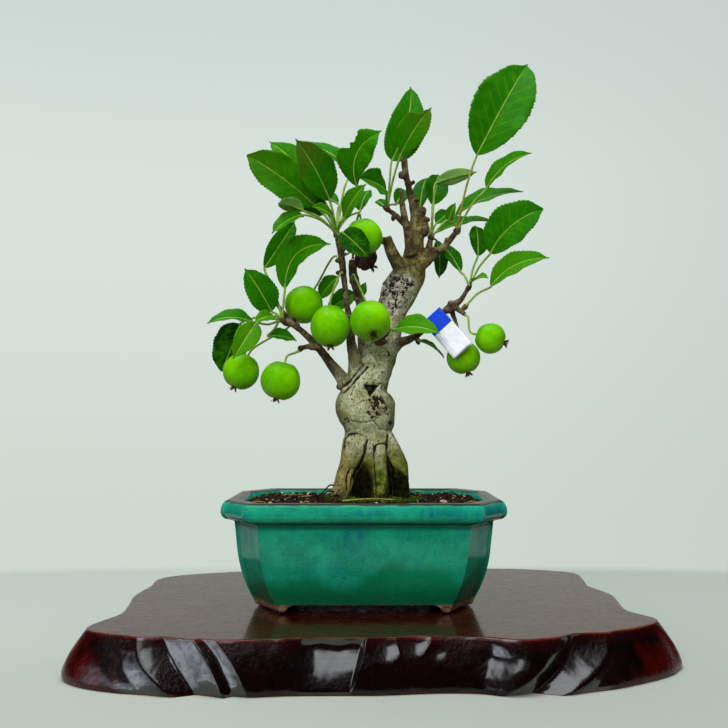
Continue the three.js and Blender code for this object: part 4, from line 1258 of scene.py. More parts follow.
leafHabit = {
    "fold": 0.28, "arch": 0.09, "sway": 0.0, "wave": 0.09, "belly": 0.82, "droop": False,
    # each leaf's brightness, set leaf by leaf: mostly painted light above 0 and painted shade below 0
    "tone": 0.0, "red": 0.0, "curl": 0.0, "brown": 0.0, "blunt": 0.0, "bitten": None,
}
leafForm = {
    "thick": 0.34,
    "row step": 0.55,
    "tooth": 1.7,
    "vein pairs": 8.5,
    "vein slant": 0.27,
    "vein bow": 0.35,
    "bud long": 4.1,
    "bud sink": 0.3,
}

up = (0, -1, 0.5)  # most blades face the viewer and the light
under = (0.1, 1, 0.6)  # these show their underside


def leaf(base, tip, wide, face=up, **habit):
    ends = {"base": np.array(base, float), "tip": np.array(tip, float), "wide": wide, "face": face}
    return {**leafHabit, **ends, **habit}


sprays = {
    "leaves_upper_left": (seatOn("uprightFront"), [
        leaf((-26, -26, 155), (-60, -38, 178), 23.5, (-0.2, -1, 0.35), tone=0.15, belly=0.95, brown=0.25,
             blunt=0.6),
        leaf((-18, -30, 157), (-34.5, -46, 184), 20.5, (0.2, -1, 0.2), tone=0.0, belly=0.85, brown=0.6),
        leaf((-24, -14, 165), (-52, -4, 195.5), 17, (-0.3, -0.7, 0.8), tone=0.1),
        leaf((-8, 1, 182), (-37, 13, 200), 12, (0.1, -0.8, 0.9), tone=-0.1, belly=0.7),
        leaf((-3.5, -22, 165.5), (9, -36, 191.5), 20.5, arch=0.16, sway=-0.17, tone=0.15, curl=0.5,
             belly=1.15, bitten=(0.62, 0.17, -1, 0.5)),
        leaf((-31, -34, 150), (-43, -47, 151), 9, under, tone=0.5),
        leaf((-20, -18, 153), (-36, -22, 158.5), 12, (0.1, -1, 0.2), tone=-0.8),
        leaf((-31, -34, 148), (-46, -46, 136), 10.5, (-0.4, -1, 0.4), tone=0.2),
        leaf((-16, -33, 147), (-26, -44, 150), 8, tone=0.3),
        leaf((-14, -8, 160), (-32, 6, 168), 11, (0, -0.8, 0.9), tone=-0.1),
        leaf((-10, -31, 147), (1, -42, 162), 11, (-0.4, -1, 0.3), tone=0.3),
        leaf((-2, -4, 157), (3, 6, 171), 11, (-0.5, -1, 0.2), tone=0.0),
        leaf((-11, -38, 138), (2, -41, 125), 14, (0.1, -1, 0.15), droop=True, tone=-0.7, blunt=0.8),
    ]),
    "leaves_centre": (seatOn("centreSpur"), [
        leaf((15.5, 3, 187), (26.5, 14, 233), 22, (0.3, -1, 0.3), sway=0.05, tone=0.0, belly=0.62),
        leaf((20, -8, 187), (36, -19, 209.5), 18, (-0.2, -1, 0.2), tone=0.2, belly=1.1, brown=0.4,
             bitten=(0.86, 0.16, -1, 0.6)),
        leaf((12, -12, 166), (-3, -24, 170), 17, tone=0.1),
        leaf((18, 6, 163), (23, 16, 174), 9, (0.3, -1, 0.5), tone=-0.2),
        leaf((12, 6, 161), (7, 14, 167), 6, tone=-0.1),
    ]),
    "leaves_right_top": (seatOn("rightUpper"), [
        leaf((62, -4, 188), (93, 11, 245), 34, (0.1, -1, 0.35), fold=0.36, tone=-0.1, red=1.0),
        leaf((66, -14, 167), (88, -25, 183), 14, (-0.5, -0.7, 0.7), sway=-0.08, tone=0.15),
        leaf((46, -7, 151), (49, -14, 159), 6, tone=0.4),
    ]),
    "leaves_right_behind": (seatOn("behindSpur"), [
        leaf((51, 7, 157), (88.5, 3, 169.5), 17, (-0.3, -0.6, 0.9), tone=0.1),
        leaf((42, 12, 149), (77, 26, 157), 13, (-0.2, -0.6, 0.9), tone=-0.2),
        leaf((41, 15, 154), (51, 28, 163), 10, tone=-0.1),
        leaf((39, 16, 165), (43, 28, 186), 14, (0.2, -1, 0.2), tone=-0.35),
        leaf((32, 18, 163), (37, 36, 186), 11, (-0.3, -1, 0.2), tone=-0.4),
        leaf((40, 6, 175), (63, 5, 181), 9, under, tone=0.3),
        leaf((41, 13, 144), (43, 22, 124), 10, (0.4, -1, 0.1), droop=True, tone=-0.5),
    ]),
    "leaves_right_low": (seatOn("rightLow"), [
        leaf((67, -18, 131), (93, -30, 152), 23.5, (-0.1, -1, 0.4), sway=-0.08, tone=-0.15, belly=0.95,
             blunt=0.7),
        leaf((62, -4, 132), (62, 6, 151), 12, (0.3, -1, 0.1), tone=-0.6),
        leaf((53, 0, 124), (42, 10, 142), 9, (0.4, -1, 0.2), tone=-0.4),
        leaf((57, -21, 116), (64, -30, 116), 7, (0, -0.7, 0.8), tone=0.3),
    ]),
    "leaf_right_spur": (seatOn("rightSpur", 1, (58, -20, 105)), [
        leaf((66, -26, 112), (94, -38, 125), 15, (-0.3, -0.8, 0.6), sway=-0.1, tone=0.3),
    ]),
    "leaves_left": (seatOn("leftBud"), [
        leaf((-48, -27, 99), (-61, -35, 120), 17, (0.2, -1, 0.2), tone=0.0),
        leaf((-52, -25, 122), (-37, -15, 149), 12, (0.5, -1, 0.2), tone=0.0),
        leaf((-41, -27, 111), (-17, -38, 132), 17, sway=-0.24, tone=0.15),
        leaf((-57, -28, 93), (-80, -34, 92), 12, (0, -0.7, 0.9), arch=0.14, tone=0.05),
        leaf((-66, -13, 94), (-77, -6, 69), 21, (-0.2, -1, 0.1), arch=-0.04, tone=-1.0, blunt=1.0),
        leaf((-55, -34, 92), (-65, -46, 73), 12.5, (0.3, -0.9, 0.3), droop=True, tone=0.4),
        leaf((-46, -32, 96), (-55, -41, 92), 8, tone=0.4),
        leaf((-50, -27, 86), (-35, -23, 84), 10, (0, -0.7, 0.8), droop=True, tone=0.0),
    ]),
    "leaf_between_fruit": (seatOn("uprightFront", 7, (-16, -10, 122)), [
        leaf((-14, -8, 120), (-24, -6, 108), 11, (-0.3, -1, 0.4), tone=0.2),
    ]),
    "leaf_behind_fruit": (seatOn("uprightBack", 5, (-4, 8, 115)), [
        leaf((-5, 8, 113), (-20, 8, 103), 13, tone=-0.1),
    ]),
    "leaf_low_front": (seatOn("lowSpur"), [
        leaf((16, -22, 90), (39, -32, 87), 15, (0, -0.8, 0.7), arch=0.12, tone=0.35),
    ]),
    "leaf_label_side": (seatOn("rightLow", 3, (30, -14, 84)), [
        leaf((29, -15, 85), (43, -9, 76), 7, (0.3, -0.3, 0.9), droop=True, tone=0.1),
    ]),
    "leaf_tiny_shoot": (seatOn("uprightBack", 5, (0, -6, 117)), [
        leaf((-1, -3, 111), (1, -8, 117), 5, tone=0.5),
    ]),
}


def bladeHalfWidth(t, belly, blunt):
    oval = np.sin(math.pi * np.clip(t, 0, 1) ** belly).clip(0) ** (0.8 - 0.28 * blunt)
    return oval * (0.3 + 0.4 * blunt + (0.7 - 0.4 * blunt) * ease(0, 0.14, 1 - t))


# The midrib at shares of its length: places, ways along it, ways out of its upper face, and its length
def ribOf(one, t):
    way = one["tip"] - one["base"]
    long = np.linalg.norm(way)
    way = way / long
    face = np.array(one["face"], float)
    face = unit(face - way * face.dot(way))
    side = np.cross(way, face)
    control = (one["base"] + one["tip"]) / 2 + face * 2 * long * one["arch"] + side * 2 * long * one["sway"]
    t = np.asarray(t, float)[:, None]
    line = (1 - t) ** 2 * one["base"] + 2 * t * (1 - t) * control + t ** 2 * one["tip"]
    ahead = unit(2 * (1 - t) * (control - one["base"]) + 2 * t * (one["tip"] - control))
    lifted = unit(face - ahead * (ahead @ face)[:, None])
    return line, ahead, lifted, long


def veinPhase(t, v):
    return (t - leafForm["vein slant"] * np.abs(v) * (1 - leafForm["vein bow"] * t)) * leafForm["vein pairs"]


# Half width of the blade at each row, with its teeth and bites
def bladeReach(one, t, grid, long, order):
    half = one["wide"] / 2 * bladeHalfWidth(t, one["belly"], one["blunt"])
    teeth = (t * long / leafForm["tooth"] + 0.13 * order) % 1
    half = half * (1 + 0.035 * (teeth - 0.5) * 2) + 0.1 * teeth * ease(0.02, 0.2, t) * ease(1, 0.9, t)
    reach = np.maximum(0.35, half)[:, None] * np.ones(grid.shape)
    if one["bitten"]:
        place, span, hand, deep = one["bitten"]
        ragged = 1 + 0.15 * np.sin(61 * t)
        bite = (deep * ragged * ease(1, 0.4, np.abs(t - place) / span))[:, None]
        reach = reach * (1 - bite * (np.sign(grid) == hand))
    return reach


# How far the blade rises over its midrib's plane: fold, waves, veins and the sunken midrib
def bladeLift(one, along, grid, reach, order):
    ripple = one["wave"] * np.sin(7 * along + 1.7 * order + grid)
    frill = 0.05 * np.sin(19 * along + 2.3 * order + 2 * grid) * grid ** 2
    lift = np.abs(grid) ** 1.15 * reach * (math.sin(one["fold"]) + ripple + frill)
    ribs = np.abs((veinPhase(along, grid) % 1) - 0.5) * 2
    lift += 0.13 * (1 - ribs ** 4) * ease(0.02, 0.3, np.abs(grid)) * min(1, one["wide"] / 16)
    return lift - 0.25 * np.exp(-(grid * reach / 0.7) ** 2)


def putBlade(heap, one, order):
    long = np.linalg.norm(one["tip"] - one["base"])
    rows = int(np.clip(long / leafForm["row step"], 18, 92)) + 1
    hands = 8 if one["wide"] > 11 else 5
    t = np.linspace(0, 1, rows)
    line, ahead, lifted, long = ribOf(one, t)
    side = np.cross(ahead, lifted)
    v = np.linspace(1, -1, 2 * hands + 1)
    columns = len(v)
    grid = v[None, :] * np.ones((rows, 1))
    along = t[:, None] * np.ones((1, columns))
    reach = bladeReach(one, t, grid, long, order)
    lift = bladeLift(one, along, grid, reach, order)
    out = grid * reach * math.cos(one["fold"])
    if one["curl"]:
        turned = one["curl"] * ease(0.62, 1.0, along)
        lift += turned * (out + reach) * 0.9
        out = out + turned * reach * 0.5
    middle = line[:, None] + out[..., None] * side[:, None] + lift[..., None] * lifted[:, None]
    thick = (leafForm["thick"] * (1 - 0.6 * grid ** 8) / 2)[..., None] * lifted[:, None]
    count = rows * columns
    index = np.arange(count).reshape(rows, columns)
    border = np.concatenate([index[0], index[1:, -1], index[-1, -2::-1], index[-2:0:-1, 0]])
    after = np.roll(border, -1)
    rimFaces = np.stack([border, after, after + count, border + count], axis=-1)
    skin = rowFaces(rows, columns, closed=False)
    values = {
        "alongBlade": along.reshape(-1), "acrossBlade": grid.reshape(-1),
        "alongLeaf": (along * long).reshape(-1), "acrossLeaf": (grid * reach).reshape(-1),
        "tone": one["tone"], "leafSeed": order * 7.7 + long % 1 * 9, "brown": one["brown"],
    }
    doubled = {name: np.concatenate([np.broadcast_to(value, count)] * 2) for name, value in values.items()}
    points = np.concatenate([middle + thick, middle - thick]).reshape(-1, 3)
    faces = np.concatenate([skin[:, ::-1], skin + count, rimFaces])
    put(heap, points + treeOrigin, faces, 0, underside=np.repeat([0.0, 1.0], count), **doubled)


# A leaf's stalk, from its bud to the blade and on as the midrib
def putStalk(heap, one, begin, order):
    near, far = 16, 25  # stations before the blade and along it
    line, _, lifted, _ = ribOf(one, np.linspace(0, 0.94, far + 1))
    bowed = (begin + one["base"]) / 2
    bowed[2] += 0.1 * np.linalg.norm(one["base"] - begin) * (-1 if one["droop"] else 1)
    first = smoothLine([begin, bowed, line[0], line[3]], np.linspace(0, 0.66, near))
    rib = line[1:] - lifted[1:] * np.linspace(0.2, 0.3, far)[:, None]
    stalk = np.interp(np.linspace(0, 1, near), [0, 0.15, 1], [0.98, 0.62, 0.6])
    rings = tubeRings(np.concatenate([first, rib]), np.concatenate([stalk, np.linspace(0.55, 0.14, far)]), 7)
    along = np.concatenate([np.zeros(near), np.linspace(0, 1, far)])[:, None]
    red = one["red"] * np.concatenate([np.linspace(1, 0.2, near), np.zeros(far)])[:, None]
    putLoft(heap, rings + treeOrigin, 1, alongBlade=along, tone=one["tone"], redness=red, leafSeed=order)


def putBud(heap, seat):
    share = np.linspace(0, 1, 12)
    radii = smoothValues(np.array([0.92, 1.2, 1.15, 0.95, 0.55]) * seat["radius"], share)
    line = seat["start"] + np.outer(share * leafForm["bud long"] - leafForm["bud sink"], seat["ahead"])
    rings = tubeRings(line, radii, 14)
    scale = 0.16 * bumps(rings, 0.9, 5) + 0.1 * np.sin(share * 22)[:, None]
    rings += unit(rings - line[:, None]) * scale[..., None]
    putLoft(heap, rings + treeOrigin, 2)


def buildSpray(name, seat, leaves):
    heap = gather(
        "alongBlade", "acrossBlade", "alongLeaf", "acrossLeaf", "tone", "leafSeed", "underside", "redness",
        "brown",
    )
    putBud(heap, seat)
    for order, one in enumerate(leaves):
        begin = seat["start"] + seat["ahead"] * (0.9 + 2.2 * order / len(leaves))
        putBlade(heap, one, order)
        putStalk(heap, one, begin, order)
    pieceName = name.replace("leaves", "spray").replace("leaf", "lone_leaf")
    return buildPiece(heap, pieceName, [leafSkin, stalkSkin, bark], [name])


# Side veins, a fine net between them and a pale midrib
def buildVeins(tree, given):
    along, across = given["Along Share"], absolute(tree, given["Across Share"])
    bow = minus(tree, 1.0, times(tree, leafForm["vein bow"], along))
    slant = times(tree, leafForm["vein slant"], bow)
    phase = times(tree, minus(tree, along, times(tree, slant, across)), leafForm["vein pairs"])
    near = minus(tree, 0.5, absolute(tree, minus(tree, calc(tree, "FRACT", phase), 0.5)))
    lateral = times(tree, fade(tree, near, 0.075, 0.02), fade(tree, across, 1.0, 0.35))
    rib = fade(tree, absolute(tree, given["Across"]), 0.42, 0.16)
    rib = times(tree, rib, fade(tree, along, 1.0, 0.75))
    spots = {0: given["Along"], 1: given["Across"], 2: given["Seed"]}
    flat = shaderNode(tree, "ShaderNodeCombineXYZ", spots).outputs[0]
    names = {"Vector": flat, "Scale": 1.15, "Randomness": 1.0}
    net = shaderNode(tree, "ShaderNodeTexVoronoi", names, feature="DISTANCE_TO_EDGE").outputs["Distance"]
    blotch = noiseOf(tree, flat, 0.16, 3.0, 0.6)
    return {"Rib": rib, "Veins": lateral, "Net": fade(tree, net, 0.09, 0.0), "Blotch": blotch}


veins = newGroup(
    "Leaf veins",
    {name: ("f", 0.0) for name in ("Along", "Across", "Along Share", "Across Share", "Seed")},
    {"Rib": "f", "Veins": "f", "Net": "f", "Blotch": "f"},
    buildVeins,
)


def buildLeafSkin(tree):
    tone, under = pointValue(tree, "tone"), pointValue(tree, "underside")
    along, across = pointValue(tree, "alongBlade"), pointValue(tree, "acrossBlade")
    found = useGroup(tree, veins, {
        "Along": pointValue(tree, "alongLeaf"), "Across": pointValue(tree, "acrossLeaf"),
        "Along Share": along, "Across Share": across, "Seed": pointValue(tree, "leafSeed"),
    })
    tinge = times(tree, pointValue(tree, "brown"), fade(tree, along, 0.35, 0.9))
    # leaves in shade are painted dark green and lit ones light green: painted shade and painted light
    top = mixed(tree, fade(tree, tone, -1.0, 0.0), (2, 46, 3), (34, 112, 1))
    top = layered(tree, top, [
        (fade(tree, tone, 0.0, 0.8), 1, (86, 150, 4)),
        (fade(tree, found["Blotch"], 0.42, 0.68, 0.0, 0.45), 1, (60, 136, 2)),
        (found["Net"], 0.14, (20, 84, 2)),
        (found["Veins"], 0.18, (120, 176, 40)),
        (found["Rib"], 0.6, (146, 188, 60)),
        (times(tree, tinge, fade(tree, found["Blotch"], 0.3, 0.6, 0.4, 1.0)), 1, (82, 74, 22)),
    ])
    low = mixed(tree, fade(tree, tone, -1.0, 0.6), (62, 108, 40), (124, 166, 84))
    low = layered(tree, low, [(found["Net"], 0.2, (74, 132, 48)), (found["Veins"], 0.4, (156, 192, 106))])
    edge = fade(tree, absolute(tree, across), 0.95, 1.0)
    color = layered(tree, top, [(under, 1, low), (edge, 0.3, (128, 156, 44))])
    relief = minus(tree, times(tree, found["Net"], -0.5), times(tree, found["Veins"], 0.6))
    rough = plus(tree, times(tree, under, 0.2), fade(tree, found["Blotch"], 0.3, 0.7, 0.42, 0.54))
    return {"Base Color": color, "Roughness": rough, "Normal": bumpOf(tree, relief, 0.35, 0.0002)}


def buildStalkSkin(tree):
    place = objectPlace(tree)
    color = layered(tree, mottled(tree, place, 240.0, (104, 148, 44), (164, 188, 88)), [
        # stalks of shaded leaves are painted darker: painted shade
        (fade(tree, pointValue(tree, "tone"), 0.0, -1.0, 0.0, 0.6), 1, (60, 112, 40)),
        (pointValue(tree, "redness"), 0.75, (150, 84, 44)),
    ])
    down = noiseOf(tree, place, 1600.0, 2.0)
    return {"Base Color": color, "Normal": bumpOf(tree, down, 0.3, 0.0002)}


leafSkin = newMaterial("leaf", buildLeafSkin, Specular_IOR_Level=0.07)
stalkSkin = newMaterial("leaf stalk", buildStalkSkin, Roughness=0.5, Specular_IOR_Level=0.25)
for name, (seat, leaves) in sprays.items():
    buildSpray(name, seat, leaves)
print("leaves made")


# Fruit: a lathe-turned apple with a dimpled stalk end and a puckered, dry calyx end

fruits = {
    # centre, radius, height to width, the way it hangs, its seat
    "apple_crown": ((0, -26, 138), 9.8, 0.98, (0.2, 0, -1), seatOn("uprightFront", 8, (-4, -14, 134))),
    "apple_left_high": (
        (-32, -14, 104), 10.1, 1, (-0.5, -0.1, -0.8), seatOn("uprightFront", 8, (-20, -18, 128)),
    ),
    "apple_middle": (
        (-17.4, -28, 91), 10.3, 1.06, (0, -0.15, -1), seatOn("uprightFront", 7, (-14, -24, 120)),
    ),
    "apple_front": (
        (3.2, -36, 93), 10.4, 1, (0.15, -0.65, -0.75), seatOn("uprightBack", 6, (-5, -10, 120)),
    ),
    "apple_far_left": ((-64, -22, 68), 9.4, 1, (-0.4, -0.1, -0.9), seatOn("leftBud", 1, (-44, -18, 88))),
    "apple_left_low": ((-43, -26, 63), 10.3, 0.98, (-0.25, 0, -1), seatOn("leftSpur")),
    "apple_far_right": ((65.5, -26, 85), 8, 0.97, (0.75, -0.1, -0.25), seatOn("rightSpur")),
    "apple_right_low": ((53, -12, 76), 9, 0.98, (0.3, 0, -1), seatOn("rightHangSpur")),
    "apple_dried": ((1, -11, 129), 6.2, 0.9, (0.6, -0.2, -0.7), seatOn("uprightBack")),
}
appleProfile = [
    # share of the radius out, share of the radius up
    (0.02, 0.8), (0.1, 0.83), (0.22, 0.92), (0.4, 0.94), (0.6, 0.82), (0.8, 0.6), (0.94, 0.32), (1.0, 0.0),
    (0.95, -0.32), (0.81, -0.59), (0.6, -0.8), (0.38, -0.92), (0.22, -0.93), (0.12, -0.88), (0.02, -0.85),
]


def buildApple(name, place, radius, tall, hangs, seat):
    dried = name == "apple_dried"
    centre, axis = np.array(place, float), unit(hangs)
    across = unit(np.cross(axis, (0.2, 1, 0.1)))
    other = np.cross(axis, across)
    turn = np.linspace(0, 2 * math.pi, 56, endpoint=False)
    spread = np.outer(np.cos(turn), across) + np.outer(np.sin(turn), other)
    outline = smoothLine([(o, u, 0) for o, u in appleProfile], np.linspace(0, 1, 46))
    rings, crown = [], outline[:, 1]
    for out, high, _ in outline:
        lobes = 1 + 0.012 * np.cos(5 * turn + radius) + 0.03 * ease(-0.6, -0.95, high) * np.cos(5 * turn)
        rings.append(centre - axis * high * radius * tall + spread * (out * radius * lobes)[:, None])
    rings = np.array(rings)
    lump = 0.14 * bumps(rings, 7, int(radius * 10)) + 0.05 * bumps(rings, 2.6, 3)
    if dried:
        lump = 0.55 * roughBumps(rings, 3.2, 7) - 0.5 * ease(0.2, 0, np.abs(bumps(rings, 2.4, 9)))
    rings += unit(rings - centre) * lump[..., None]
    heap = gather("crown", "seed")
    putLoft(heap, rings[::-1] + treeOrigin, 0, crown=crown[::-1, None], seed=radius)
    putCalyx(heap, centre, axis, across, other, 0.86 * radius * tall)
    top = centre - axis * radius * tall * 0.72
    above = centre - axis * (radius * tall + 3)
    begin = seat["start"]
    shares = np.linspace(0, 1, 34)
    line = smoothLine([begin, begin + seat["ahead"] * 2, above, top], shares)
    radii = np.interp(shares, [0, 0.06, 0.2, 0.85, 1], [1.0, 0.85, 0.56, 0.6, 0.78])
    rings = tubeRings(line, radii, 8)
    rings += unit(rings - line[:, None]) * (0.05 * bumps(rings, 1.2, 6))[..., None]
    putLoft(heap, rings + treeOrigin, 2 if dried else 3, seed=radius)
    skins = [driedSkin if dried else appleSkin, husk, husk, stalkSkin]
    return buildPiece(heap, name.replace("apple", "crabapple"), skins, [name])


# Five dry sepals round a tuft of old stamens
def putCalyx(heap, centre, axis, across, other, reach):
    for k in range(5):
        angle = 2 * math.pi * k / 5 + 0.3
        out = across * math.cos(angle) + other * math.sin(angle)
        wide = np.cross(axis, out)
        share = np.linspace(0, 1, 9)[:, None]
        flare = 0.7 + 1.6 * share + 0.9 * share ** 2 * (1 if k % 2 else 0.4)
        line = centre + axis * (reach + 3.6 * share - 0.7 * share ** 3) + out * flare
        half = 0.75 * np.sin(math.pi * np.clip(share * 0.8 + 0.2, 0, 1)) ** 0.7 + 0.06
        bulge = out * 0.14 - axis * 0.02
        rows = [line + wide * half, line + bulge, line - wide * half, line - bulge]
        putLoft(heap, np.stack(rows, axis=1) + treeOrigin, 1)
    for k in range(9):
        angle = 2.4 * k
        out = (across * math.cos(angle) + other * math.sin(angle)) * (0.2 + 0.07 * k)
        share = np.linspace(0, 1, 5)[:, None]
        tall = 2.2 + 0.4 * math.sin(5.1 * k)
        line = centre + axis * (reach - 0.4 + tall * share) + out * (0.6 + 1.1 * share ** 2)
        putLoft(heap, tubeRings(line, [0.13, 0.11, 0.1, 0.12, 0.2], 5) + treeOrigin, 1)


def buildAppleSkin(tree):
    place = objectPlace(tree)
    crown = pointValue(tree, "crown")
    dots = specked(tree, place, 560.0, 0.2)
    fine = noiseOf(tree, place, 700.0, 2.0)
    color = layered(tree, mottled(tree, place, 70.0, (88, 176, 0), (120, 202, 0)), [
        (fade(tree, crown, 0.55, 0.9, 0.0, 0.5), 1, (60, 146, 2)),
        (fade(tree, crown, -0.5, -0.95, 0.0, 0.5), 1, (130, 176, 20)),
        (fade(tree, noiseOf(tree, place, 42.0, 2.0), 0.5, 0.72, 0.0, 0.3), 1, (150, 196, 10)),
        (fade(tree, absolute(tree, crown), 0.35, 0.9), 0.3, (56, 124, 2)),
        (dots, 0.5, (172, 208, 84)),
    ])
    rough = fade(tree, fine, 0.3, 0.7, 0.3, 0.42)
    relief = bumpOf(tree, plus(tree, fine, dots), 0.12, 0.0002)
    return {"Base Color": color, "Roughness": rough, "Normal": relief}


appleSkin = newMaterial(
    "crabapple skin", buildAppleSkin,
    Specular_IOR_Level=0.12, Subsurface_Weight=0.06, Subsurface_Scale=0.002,
)
driedSkin = mottledSkin(
    "dried crabapple skin", 170.0, (20, 7, 7), (70, 28, 18), 700.0, 3.0, (0.4, 0.0004), Roughness=0.55,
)
husk = mottledSkin(
    "dry husk", 500.0, (44, 28, 14), (118, 84, 40), (900, 900, 300), 3.0, (0.5, 0.0003), Roughness=0.85,
)
for name, form in fruits.items():
    buildApple(name, *form)
print("fruit made")


# Plant label: a narrow card folded over a twig, left bare

label = {
    "fold": (37.5, -15, 96.4),  # on the twig
    "fold way": (0.73, -0.16, 0.66),  # along the twig
    "down way": (0.58, -0.36, -0.73),  # from the twig to the free end
    "wide": 12.4,
    "front long": 25.0,
    "back long": 24.0,
    "loop radius": 2.4,
    "thick": 0.5,
    "rounding": 0.25,
    "band": 0.34,  # share of the front that the blue band takes
    "rule lines": (-0.9, -0.8, -0.62),  # share of the half width
}


# The card's middle line: places down and back, and how far along the front (1 to 0) or the back (0 to -1)
def cardPath():
    middle = label["loop radius"] + 0.05 + label["thick"] / 2
    path = []
    for part in np.linspace(0, 1, 26)[:-1]:
        path.append((label["front long"] * (1 - part), -middle + 0.35 * math.sin(math.pi * part), 1 - part))
    for angle in np.linspace(-math.pi / 2, math.pi / 2, 17):
        path.append((-middle * math.cos(angle), middle * math.sin(angle), 0))
    for part in np.linspace(0, 1, 26)[1:]:
        back = middle - part ** 0.7 + 0.3 * math.sin(math.pi * part)
        path.append((label["back long"] * part, back, -part))
    return np.array(path)


def buildLabel():
    path = cardPath()
    ahead = unit(np.gradient(path[:, :2], axis=0))
    normal = np.column_stack([-ahead[:, 1], ahead[:, 0]])
    down = unit(label["down way"])
    along = np.array(label["fold way"])
    along = unit(along - down * along.dot(down))
    back = np.cross(along, down)
    half, thick = label["wide"] / 2, label["thick"] / 2
    inside = np.linspace(-half + label["rounding"], half - label["rounding"], 11)
    section = [(-half, 0.0), *((x, thick) for x in inside)]
    section += [(half, 0.0), *((x, -thick) for x in inside[::-1])]
    rings = []
    for (x, y, share), way in zip(path, normal):
        row = []
        for across, depth in section:
            flat = np.array([x, y]) + way * (depth + 0.012 * across * abs(across) * abs(share))
            row.append(down * flat[0] + back * flat[1] + along * across)
        rings.append(row)
    crosswise = [across / half for across, _ in section]
    heap = gather("lengthwise", "crosswise")
    putLoft(heap, np.array(rings) + label["fold"] + treeOrigin, lengthwise=path[:, 2:], crosswise=crosswise)
    return buildPiece(heap, "bare_plant_label", [card], ["plant_label"])


def buildCard(tree):
    place = objectPlace(tree)
    long, wide, end = pointValue(tree, "lengthwise"), pointValue(tree, "crosswise"), label["band"]
    band = times(tree, fade(tree, long, end + 0.004, end - 0.004), fade(tree, long, -0.08, -0.03))
    below = fade(tree, long, end + 0.01, end + 0.02)
    layers = [(band, 1, (8, 62, 206))]
    for line in label["rule lines"]:
        near = fade(tree, absolute(tree, minus(tree, wide, line)), 0.03, 0.012)
        layers.append((times(tree, near, below), 0.55, (120, 136, 170)))
    color = layered(tree, mottled(tree, place, 260.0, (226, 232, 240), (246, 248, 252)), layers)
    return {"Base Color": color, "Normal": bumpOf(tree, noiseOf(tree, place, 900.0, 2.0), 0.08, 0.0001)}


card = newMaterial("label card", buildCard, Roughness=0.42, Specular_IOR_Level=0.45)
buildLabel()
print("label made")


# Soil: fills the pot to just under the rim, crumbly on top, with grit, root ends, a straw and moss

soil = {
    "inside": [(9.8, 19.8), (13, 17), (22, 14), (34, 11.6), (46, 9.6), (50.5, 8.4)],  # height, inset
    "edge high": 51.6,
    "shrink": 0.35,
    "root room": 0.6,
    "crumbs": 2600,
    "grit share": 0.05,
    "pebbles": [((40.5, -30, 54.3), 2.0), ((-48, -27, 53.4), 1.3)],
    "rootlets": 70,
    "tufts": 1500,
    "spread": (61, 44, 93),  # half width, half depth, and their sum at the cut corners
    # root wisps and a straw beside the trunk: stations, radius, finish
    "strands": [
        ([(-14, -12, 61), (-18, -13, 61.5), (-21, -13, 58.5), (-25, -14, 55)], 0.5, "earth"),
        ([(-14, -14, 58), (-19, -16, 58.5), (-22, -17, 55), (-24, -19, 53.5)], 0.45, "earth"),
        ([(-12, -15, 57), (-17, -18, 56), (-20, -21, 53.5)], 0.4, "earth"),
        ([(-11, -26, 54.4), (-1, -28, 55.4), (8, -28, 55.5), (17, -26, 55)], 0.5, "straw"),
        ([(22, -8, 56), (26, -10, 57), (29, -11, 54)], 0.4, "earth"),
    ],
}
soilFinish = {"earth": 0, "grit": 1, "moss": 2, "straw": 3}


def soilTop(x, y):
    x, y = np.atleast_1d(x), np.atleast_1d(y)
    place = np.column_stack([x, y, np.zeros(len(x))])
    mound = 1.1 * np.exp(-(x ** 2 + y ** 2) / 900)
    return layout["soil level"] - 0.3 + mound + 0.55 * roughBumps(place, 7, 3, 3)


def putCrumb(heap, place, size, finish):
    turn = np.linspace(0, 2 * math.pi, 6, endpoint=False)
    tall = size * dice.uniform(0.5, 0.9)
    tip = dice.uniform(-0.3, 0.3, 2) * size
    rings = []
    for out, high in ((0.75, -0.5), (1.0, 0.05), (0.6, 0.75)):
        reach = out * size * dice.uniform(0.75, 1.15, 6)
        flat = reach * np.cos(turn) + tip[0] * high, reach * np.sin(turn) + tip[1] * high
        rings.append(np.column_stack([*flat, np.full(6, high * tall)]))
    putLoft(heap, np.array(rings) + place, finish, shade=dice.uniform())


# A random place on the soil, away from the trunk
def soilSpot(inner):
    wide, deep, corner = soil["spread"]
    while True:
        x, y = dice.uniform(-wide, wide), dice.uniform(-deep, deep)
        if abs(x) + abs(y) < corner and math.hypot(x - 3, (y + 3) * 1.1) > inner:
            return x, y


# Soil in the pot, with a hole for each root and the trunk
def putSoilBody():
    heap = gather("shade")
    inside = smoothLine([(h, i, 0) for h, i in soil["inside"]], np.linspace(0, 1, 14))
    rings = [potRing(height, inset + soil["shrink"]) for height, inset, _ in inside]
    edge = rings[-1].copy()
    edge[:, 2] = soil["edge high"]
    rings.append(edge)
    for share in np.linspace(0.985, 0.03, 46):
        ring = edge * (share, share, 1)
        ring[:, 2] = soilTop(ring[:, 0], ring[:, 1]) - 1.0 * ease(0.93, 1.0, share)
        rings.append(ring)
    putLoft(heap, np.array(rings) + potOrigin, soilFinish["earth"], shade=0.4)
    piece = buildPiece(heap, "planting_soil", [earth, grit, moss, straw], ["soil"])
    cutters = []
    for stations in [tree["trunk"][:4], *tree["roots"]]:
        line = np.array(stations, float)
        shares = np.linspace(0, 1, 14)
        radii = smoothValues(line[:, 3] + soil["root room"], shares)
        cutter = gather()
        putLoft(cutter, tubeRings(smoothLine(line[:, :3], shares), radii, 20) + treeOrigin)
        cutters.append(plainObject("root plug", cutter))
    cutAway(piece, cutters)
    return piece


